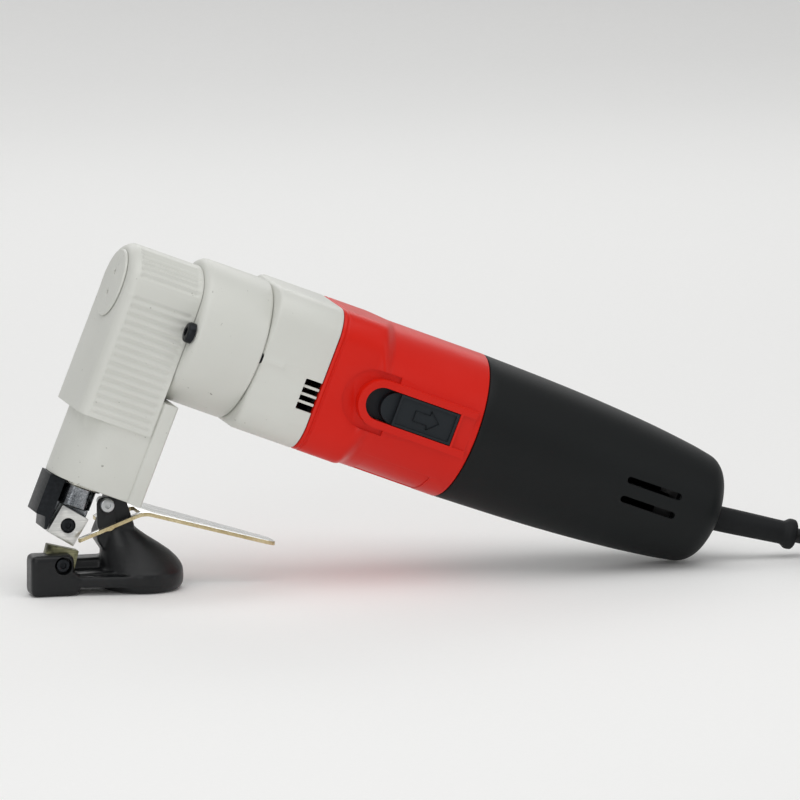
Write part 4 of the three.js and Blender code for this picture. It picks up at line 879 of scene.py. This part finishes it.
def make_slider():
    half = SLOT_HALF - 0.4
    pad_rear = SLOT_REAR - 0.4
    pad_front = pad_rear - 30
    step_front = SLOT_FRONT + 8.3
    base = block(SLOT_FRONT - 8, SLOT_REAR + 5, -30.2, -29, -half, half, 0.3, 2)
    slider = loose_object("switch_slide", base, TOOL)
    step = tongue(step_front, pad_front + 1, half, -34.6, -29.7, 28)
    combine(slider, step, TOOL, "UNION")
    combine(slider, block(pad_front, pad_rear, -37, -29.7, -half, half), TOOL, "UNION")
    soften(slider, 0.7, 4, 60)
    # A flat field, sunk a little, with a raised outline of an arrow that points to the cord.
    combine(slider, block(pad_front + 1.0, pad_rear - 1.2, -38, -36.2, -half + 1.1, half - 1.1, 0.5, 2, 1), TOOL)
    put_on(slider, "switch", SLIDER, ["switch_slider"], 34)
    arrow = arrow_outline(pad_front + 15.5, 12.7)
    made = loose_object("slide_arrow", arrow, TOOL)
    put_on(made, "switch", SLIDER)
    return slider


def arrow_outline(x, length):
    """A thin raised line round a block arrow."""
    head, stem, wide = length * 0.42, length * 0.2, length * 0.37
    tip, neck, tail = x + length / 2, x + length / 2 - head, x - length / 2
    corners = [(tip, 0), (neck, wide), (neck, stem), (tail, stem), (tail, -stem), (neck, -stem), (neck, -wide)]
    bm = bmesh.new()
    face = bm.faces.new([bm.verts.new((px, -36.1, pz)) for px, pz in corners])
    rim = bmesh.ops.inset_region(bm, faces=[face], thickness=0.7, use_even_offset=True, use_boundary=True)
    bmesh.ops.delete(bm, geom=[face], context="FACES_ONLY")
    grown = bmesh.ops.extrude_face_region(bm, geom=rim["faces"])
    lifted = [item for item in grown["geom"] if isinstance(item, bmesh.types.BMVert)]
    bmesh.ops.translate(bm, vec=(0, -0.75, 0), verts=lifted)
    bmesh.ops.recalc_face_normals(bm, faces=bm.faces)
    return bm


# ---------------------------------------------------------------- black rear cover and cord guard
def flowing(points, per=5):
    """A smooth line of (x, radius) points through the given ones."""
    ends = [points[0], *points, points[-1]]
    line = []
    for a, b, c, d in zip(ends, ends[1:], ends[2:], ends[3:]):
        for step in range(per):
            t = step / per
            line.append(tuple(
                0.5 * (2 * q + (r - p) * t + (2 * p - 5 * q + 4 * r - s) * t * t + (3 * q - p - 3 * r + s) * t ** 3)
                for p, q, r, s in zip(a, b, c, d)
            ))
    return [*line, points[-1]]


def stadium(x, z, length, height, y0, y1, arcs=12):
    half, reach = height / 2, (length - height) / 2
    outline = []
    for side in (1, -1):
        for step in range(arcs + 1):
            a = math.radians(-90 + 180 * step / arcs) if side > 0 else math.radians(90 + 180 * step / arcs)
            outline.append((x + side * reach + half * math.cos(a), z + half * math.sin(a)))
    return plate(outline, y0, y1)


def make_rear_cover():
    x0, wall = COVER_LOW.x, 3.1
    shoulder = [(0, 35.3), (35, 34.3), (61, 33), (87, 31), (108, 28.6), (118, 27), (124, 25.4), (128.4, 21.4),
                (131.4, 14.8), (132.7, 9)]
    outer = flowing([(x0 + back, radius) for back, radius in shoulder])
    inner = [(x0 + back, radius - wall) for back, radius in reversed(shoulder[:6])]
    tail, room = outer[-1][0], outer[-1][0] - 7.1
    profile = [(x0, 34.7), (x0 + 0.2, 35.1), *[(x + 0.6, r) for x, r in outer[:1]], *outer[1:]]
    profile += [(tail, 6.4), (room, 6.4), (room, 17), *inner, (x0, 32.2)]
    cover = loose_object("rear_cover_shell", turned(profile, 144), TOOL)
    for side in (-1, 1):
        y0, y1 = sorted((side * 20, side * 40))
        for z in (5, -4.4):
            combine(cover, stadium(x0 + 92.2, z, 29, 3.3, y0, y1), TOOL)
    soften(cover, 0.35, 2, 50)
    combine(cover, moved(turned([(0, 0), (0, 3.6), (7, 3.6), (7, 0)], 40), (x0 + 3.7, 0, -40.4), -90), TOOL)
    combine(cover, moved(turned([(0, 0), (0, 2.1), (10, 2.1), (10, 0)], 40), (x0 + 3.7, 0, -37), -90), TOOL)
    return put_on(cover, "housing", BLACK, ["rear_cover"], 40)


def make_guard():
    x, bore = COVER_HIGH.x, 3.75
    sleeve = [(-1.2, bore), (-1.2, 6)]
    sleeve += flowing([(0, 6.05), (12, 5.95), (24, 5.75), (33, 5.6), (35.6, 5.75), (37.6, 7.0), (39, 7.25),
                       (40.7, 7.0), (41.4, 6.2)], 4)
    sleeve += [(41.4, bore)]
    guard = loose_object("guard_sleeve", moved(turned(sleeve, 72), (x, 0, GUARD_Z), -GUARD_RISE), TOOL)
    inside = -10.5
    root = turned([(inside, bore), (inside, 8.2), (inside + 0.4, 8.6), (inside + 2.6, 8.6), (inside + 3, 8.2),
                   (inside + 3, 6), (0.9, 6), (0.9, bore)], 72)
    combine(guard, moved(root, (x, 0, GUARD_Z)), TOOL, "UNION")
    return put_on(guard, "housing", RUBBER, ["cord_guard"], 40)


# ---------------------------------------------------------------- cast foot
def oval(centre_x, half_x, centre_y, half_y, z, count=72):
    return [
        Vector((centre_x + half_x * math.cos(math.tau * i / count), centre_y + half_y * math.sin(math.tau * i / count), z))
        for i in range(count)
    ]


def make_foot():
    front, block_rear, near, far = -58.7, -38, -20, -6.2
    disc_x, disc_y, disc_radius, rim = -2.8, -5, 20, 8.8
    bm = block(front, block_rear, near, far, 0, 19.4, 2.6, 4)
    added(bm, block(block_rear - 6, -35.6, near, 5, 0, 11, 2.4, 4))
    flank = [
        (block_rear - 5, near + 0.2), (block_rear + 3, near + 0.1), (disc_x - 12, near - 3.4),
        (disc_x, disc_y - disc_radius + 0.1), (disc_x, 5.8), (block_rear - 5, 5.8),
    ]
    added(bm, moved(plate([(x, y) for x, y in flank], -rim, -3.4, 1.2), (0, 0, 0), -90, "X"))
    added(bm, block(block_rear - 5, disc_x, near + 2, 5.8, 3.4, 10.2, 2.0, 4))
    added(bm, block(block_rear - 1, -14, -5.6, 8, 3.4, 15.2, 3.2, 4))
    # The disc's rim, and the shoulder that runs up from it to the neck: rear edge and half width by height.
    climb = [(rim, 17.0, 19.8), (10.2, 16.9, 18.8), (12, 16.0, 17.3), (14.5, 14.2, 15.4), (17.5, 11.0, 13.3),
             (21, 6.0, 11.2), (24.7, 0.2, 9.5), (28, -4.2, 8.2), (31.5, -7.4, 7.4)]
    sections = [oval(disc_x, disc_radius - 3.2, disc_y, disc_radius - 3.2, 0.05)]
    sections += [oval(disc_x, disc_radius - 1.4, disc_y, disc_radius - 1.4, 0.9)]
    sections += [oval(disc_x, disc_radius - 0.3, disc_y, disc_radius - 0.3, 3), oval(disc_x, disc_radius, disc_y, disc_radius, 6)]
    for z, rear, half_y in climb:
        share = (z - rim) / (31.5 - rim)
        ahead = -22.6 + 1.2 * share
        sections.append(oval((rear + ahead) / 2, (rear - ahead) / 2, disc_y + 4 * share, half_y, z))
    added(bm, skin(bmesh.new(), sections))
    to_ground = GROUND.inverted() @ TOOL
    head_foot = HEAD_LOW.z - JOINT_GAP
    top_front, top_rear = to_ground @ Vector((13.5, 0, head_foot)), to_ground @ Vector((22.1, 0, head_foot))
    neck = plate([
        (-21, 10), (-8, 10), (-6.4, 30.6), (top_rear.x, top_rear.z), (top_front.x, top_front.z), (-21.4, 34),
        (-24.6, 26.4), (-24.2, 23.4), (-20, 17),
    ], -7.6, 5.8)
    added(bm, neck)
    stub = block(13.6, 22, -7.2, 5.9, HEAD_LOW.z - 3, -57, 0.6, 2)
    stub.transform(to_ground)
    added(bm, stub)
    foot = loose_object("foot_casting", bm, GROUND)
    melt(foot, 0.62, 7)
    lower = span("lower_blade", GROUND)
    x, z = (lower[0].x + lower[1].x) / 2, (lower[0].z + lower[1].z) / 2
    pocket = block(-7.9, 7.9, lower[0].y - JOINT_GAP, 26, -7.9, 7.9, 0.5, 2, 1)
    combine(foot, moved(pocket, (x, 0, z), 14.1), GROUND)
    sink = [(near - 2, 0), (near - 2, 4.6), (near + 0.6, 4.15), (near + 4.6, 4.1), (near + 4.6, 2.3), (-5, 2.3), (-5, 0)]
    combine(foot, moved(moved(turned(sink, 48), (0, 0, 0), 90, "Z"), (x, 0, z)), GROUND)
    ear = span("guard_plate_screw", GROUND)
    hole = moved(moved(rod(-9, 3, 2.2), (0, 0, 0), 90, "Z"), ((ear[0].x + ear[1].x) / 2, 0, (ear[0].z + ear[1].z) / 2))
    combine(foot, hole, GROUND)
    combine(foot, rod(12, 24, 3.1, 0, -69), TOOL)
    return put_on(foot, "housing", BLACK_ENAMEL_AND_DARK_REFLECTION, ["yoke"], 50)


# ---------------------------------------------------------------- blades, ram and guide
def blade(side, y0, y1, hole, counterbore=None):
    bm = block(-side / 2, side / 2, y0, y1, -side / 2, side / 2, 0.35, 2, 1)
    made = loose_object("blank", bm, GROUND)
    combine(made, moved(rod(y0 - 1, y1 + 1, hole), (0, 0, 0), 90, "Z"), GROUND)
    if counterbore:
        combine(made, moved(rod(y0 - 1, y0 + 3, counterbore), (0, 0, 0), 90, "Z"), GROUND)
    soften(made, 0.18, 2, 50)
    bm = bmesh.new()
    bm.from_mesh(made.data)
    bpy.data.objects.remove(made)
    bm.transform(GROUND.inverted())
    return bm


def make_blades():
    low, high = span("lower_blade", GROUND)
    x, z = (low.x + high.x) / 2, (low.z + high.z) / 2
    bm = moved(blade(15.1, low.y, high.y, 2.2), (x, 0, z), 14.1)
    put_on(loose_object("lower_cutter", bm, GROUND), "housing", OILED_BLADE, ["lower_blade"])
    low, high = span("upper_blade")
    x, z = (low.x + high.x) / 2, (low.z + high.z) / 2
    bm = moved(blade(14.5, low.y, high.y, 2.2, 3.6), (x, 0, z), 10)
    put_on(loose_object("upper_cutter", bm, TOOL), "ram", BLADE, ["upper_blade"])


def make_ram():
    tip, shoulder, radius = -110, -96.4, RAM_RADIUS
    column = turned([(6, 0), (6, radius), (95.8, radius), (96.4, radius - 0.6), (96.4, 0)], 96)
    ram = loose_object("ram_column", upright(column, 0, 0, 0), TOOL)
    low, high = span("ram")
    tab = upright(rod(-shoulder - 1, -tip, radius), 0, 0, 0)
    flat = loose_object("tab", tab, TOOL)
    combine(flat, block(-20, 20, -20, 0.3, tip - 2, shoulder + 2), TOOL)
    bm = bmesh.new()
    bm.from_mesh(flat.data)
    bpy.data.objects.remove(flat)
    combine(ram, bm, Matrix.Identity(4), "UNION")
    head = loose_object("crosshead", block(-7, 7, -12.3, 12.3, -10.2, 26, 0), TOOL)
    combine(head, rod(-8, 8, 26.2), TOOL, "INTERSECT")
    bm = bmesh.new()
    bm.from_mesh(head.data)
    bpy.data.objects.remove(head)
    combine(ram, bm, Matrix.Identity(4), "UNION")
    combine(ram, block(-12, 12, -8.9, 8.9, 0.1, 22.9), TOOL)
    screw = span("upper_blade_screw")
    x, z = (screw[0].x + screw[1].x) / 2, (screw[0].z + screw[1].z) / 2
    combine(ram, moved(moved(rod(-2, 12, 2.2), (0, 0, 0), 90, "Z"), (x, 0, z)), TOOL)
    soften(ram, 0.3, 2, 50)
    return put_on(ram, "ram", RAM_STEEL, ["ram"])


def make_bush():
    low, high = span("ram_bush")
    outer, bore = (high.x - low.x) / 2, RAM_RADIUS + 0.05
    bm = turned([(-low.z, bore), (-low.z, outer - 0.7), (-low.z - 0.7, outer), (-high.z + 0.4, outer),
                 (-high.z, outer - 0.4), (-high.z, bore)], 96)
    made = loose_object("ram_guide_bush", upright(bm, 0, 0, 0), TOOL)
    return put_on(made, "housing", BUSH_STEEL, ["ram_bush"])


def make_front_guide():
    top = HEAD_LOW.z - JOINT_GAP
    bm = plate([(-17.2, top), (-9.4, top), (-9.4, -110), (-10.6, -110.6), (-12.4, -104.6), (-17.2, -104.6)], -9, 9)
    made = loose_object("ram_front_guide", bm, TOOL)
    combine(made, upright(rod(-top - 1, -HEAD_LOW.z + 2.4, 11.3), 0, 0, 0), TOOL)
    combine(made, upright(rod(80, 125, RAM_RADIUS + 0.3), 0, 0, 0), TOOL)
    soften(made, 0.45, 3, 40)
    return put_on(made, "housing", BLACKENED, ["front_guide"])


RAM_RADIUS = 8.8


# ---------------------------------------------------------------- bent guard plate
def make_guard_plate():
    low, high = span("guard_plate", GROUND)
    front, rear, near, far, thick = low.x, high.x, low.y, high.y, 1.8
    bend_x, bend_z, front_z, rear_z = -2.7, 37.4, 25.6, 19.2
    outline = [
        (front, near + 0.6), (front + 0.6, near), (bend_x, near), (rear - 5, -10.2), (rear - 1.4, -8.2),
        (rear, -4.6), (rear, 0), (rear - 1.4, 3.6), (rear - 5, 6), (bend_x + 6, far - 2), (bend_x, far),
        (front + 14, far - 5), (front + 14, near + 4), (front, near + 3),
    ]
    bm = bmesh.new()
    bm.faces.new([bm.verts.new((x, y, 0)) for x, y in outline])
    bends = [bend_x + step for step in (-4.5, -3.4, -2.3, -1.2, 0, 1.2, 2.3, 3.4, 4.5)]
    for x in [front + 10, front + 20, *bends, bend_x + 20, bend_x + 40]:
        bmesh.ops.bisect_plane(bm, geom=bm.verts[:] + bm.edges[:] + bm.faces[:], plane_co=(x, 0, 0), plane_no=(1, 0, 0))
    rise, drop = (bend_z - front_z) / (bend_x - front), (bend_z - rear_z) / (rear - bend_x)
    soft = 3.4
    for vert in bm.verts:
        along = vert.co.x - bend_x
        flat = bend_z - (drop * along if along > 0 else -rise * along)
        # The two legs meet in a rounded bend.
        vert.co.z = flat - (0 if abs(along) > soft else (rise + drop) / 4 * (soft - abs(along)) ** 2 / soft)
    grown = bmesh.ops.extrude_face_region(bm, geom=bm.faces[:])
    under = [item for item in grown["geom"] if isinstance(item, bmesh.types.BMVert)]
    bmesh.ops.translate(bm, vec=(0, 0, -thick), verts=under)
    bmesh.ops.recalc_face_normals(bm, faces=bm.faces)
    sheet = loose_object("guard_sheet", bm, GROUND)
    combine(sheet, block(front + 2, bend_x - 1.2, -8.3, 6.3, 0, 60, 1.2, 3, 2), GROUND)
    screw = span("guard_plate_screw", GROUND)
    sx, sz = (screw[0].x + screw[1].x) / 2, (screw[0].z + screw[1].z) / 2
    ear = block(sx - 4.4, sx + 4.4, -10.1, -8.3, 28.4, sz + 3.4, 3.2, 5, 1)
    combine(sheet, ear, GROUND, "UNION")
    combine(sheet, moved(moved(rod(-12, -7, 2.2), (0, 0, 0), 90, "Z"), (sx, 0, sz)), GROUND)
    soften(sheet, 0.22, 2, 50)
    put_on(sheet, "housing", POLISHED, ["guard_plate"])
    sheet.data.materials.append(CUT_EDGE)
    for face in sheet.data.polygons:
        if abs(face.normal.z) < 0.8 and face.center.z < (GROUND @ Vector((0, 0, 38.6))).z:
            face.material_index = 1
    # The ear is the same polished sheet: its faces above the sheet take the black enamel as painted dark reflection.
    sheet.data.materials.append(BLACK_ENAMEL_AND_DARK_REFLECTION)
    for face in sheet.data.polygons:
        middle = GROUND.inverted() @ face.center
        sheet_top = bend_z + rise * (middle.x - bend_x)
        if middle.y < -8.2 and abs(middle.x - sx) < 4.6 and middle.z > sheet_top + 0.4:
            face.material_index = 2
    return sheet


# ---------------------------------------------------------------- socket screws
def socket_screw(name, node, body, place, way, head_length, shank, socket, finish):
    """A socket-headed screw on its frame node's own line: `way` is the direction from head to tip."""
    low, high = span(node, place)
    axis = "XYZ".index(way[1])
    across = (axis + 1) % 3
    radius, length = (high[across] - low[across]) / 2, high[axis] - low[axis]
    bm = turned([
        (0, 0), (0, radius * 0.78), (radius * 0.06, radius * 0.9), (radius * 0.25, radius), (head_length, radius),
        (head_length, shank), (length - 0.5, shank), (length, shank - 0.5), (length, 0),
    ], 48)
    made = loose_object(name, bm, Matrix.Identity(4))
    recess = turned([(-1, 0), (-1, socket), (head_length * 0.6, socket), (head_length * 0.6 + 0.5, 0)], 6)
    combine(made, recess, Matrix.Identity(4))
    bm = bmesh.new()
    bm.from_mesh(made.data)
    bpy.data.objects.remove(made)
    turn, about = {"+X": (0, "Y"), "-X": (180, "Z"), "+Y": (90, "Z"), "+Z": (-90, "Y")}[way]
    start = (low + high) / 2
    start[axis] = high[axis] if way[0] == "-" else low[axis]
    made = loose_object(name, moved(bm, start, turn, about), place)
    return put_on(made, body, finish, [node], 30)


def make_screws():
    for name in ("near", "far"):
        socket_screw(f"case_bolt_{name}", f"case_screw_{name}", "housing", TOOL, "+X", 3.4, 2.9, 2.4, BLACKENED)
    socket_screw("neck_clamp_bolt", "yoke_clamp_screw", "housing", TOOL, "-X", 4.6, 2.9, 2.1, BLACKENED)
    socket_screw("upper_cutter_bolt", "upper_blade_screw", "ram", TOOL, "+Y", 2.5, 2, 1.6, BLACKENED)
    socket_screw("lower_cutter_bolt", "lower_blade_screw", "housing", GROUND, "+Y", 3.4, 2, 1.7, BLACKENED)
    socket_screw("guard_sheet_bolt", "guard_plate_screw", "housing", GROUND, "+Y", 2.4, 2, 1.6, ZINC)
    socket_screw("cover_bolt", "rear_cover_screw", "housing", TOOL, "+Z", 1.5, 1.9, 1.2, BLACKENED)


# ---------------------------------------------------------------- finishes inside, and the floor
def finish_inner_parts():
    """Machined and moulded parts inside the casings keep the frame's shape and get their real finish."""
    finishes = {
        GEAR_STEEL: ["crank_front_bearing", "crank_rear_bearing", "crank_shaft", "crank_gear", "eccentric_roller",
                     "layshaft", "layshaft_gear", "armature_shaft", "armature_front_bearing",
                     "armature_rear_bearing"],
        BRONZE: ["layshaft_front_bush", "layshaft_rear_bush", "brush_holder_top", "brush_holder_bottom"],
        ZINC: ["head_screw_near", "head_screw_far"],
        LAMINATED: ["armature_core", "field_core"],
        COPPER: ["commutator"],
        CARBON: ["carbon_brush_top", "carbon_brush_bottom"],
        INNER_BLACK: ["cooling_fan", "fan_baffle", "switch_rod", "switch_module", "cord_clamp"],
        PVC: ["inner_lead"],
    }
    for material, nodes in finishes.items():
        for node in nodes:
            for slot in frame["nodes"][node].material_slots:
                slot.material = material


def make_floor():
    """Pale paper that runs level under the tool and sweeps up behind it."""
    bm = bmesh.new()
    bmesh.ops.create_grid(bm, x_segments=2, y_segments=60, size=3)
    level, sweep = 1.3, 0.8
    for vert in bm.verts:
        past = vert.co.y - level
        if past > 0:
            turn = min(past / sweep, math.pi / 2)
            vert.co.y = level + sweep * math.sin(turn)
            vert.co.z = sweep * (1 - math.cos(turn)) + max(past - sweep * math.pi / 2, 0)
    bmesh.ops.translate(bm, vec=(0, 0, -0.0002), verts=bm.verts)
    mesh = bpy.data.meshes.new("studio_floor")
    bm.to_mesh(mesh)
    bm.free()
    floor = bpy.data.objects.new("studio_floor", mesh)
    scene.collection.objects.link(floor)
    for polygon in mesh.polygons:
        polygon.use_smooth = True
    material, tree, shader, coords = new_material("pale_studio_paper", Roughness=0.9, Specular_IOR_Level=0.2)
    fibre = put(tree, "ShaderNodeTexNoise", {"Vector": coords, "Scale": per_metre(3)})
    tinted(tree, shader, fibre.outputs[0], "#fbfbfa", "#fefefd")
    mesh.materials.append(material)


make_floor()
make_head()
make_cap()
make_ring()
make_gear_case()
make_motor_housing()
make_slider()
make_rear_cover()
make_guard()
make_foot()
make_blades()
make_ram()
make_bush()
make_front_guide()
make_guard_plate()
make_screws()
finish_inner_parts()
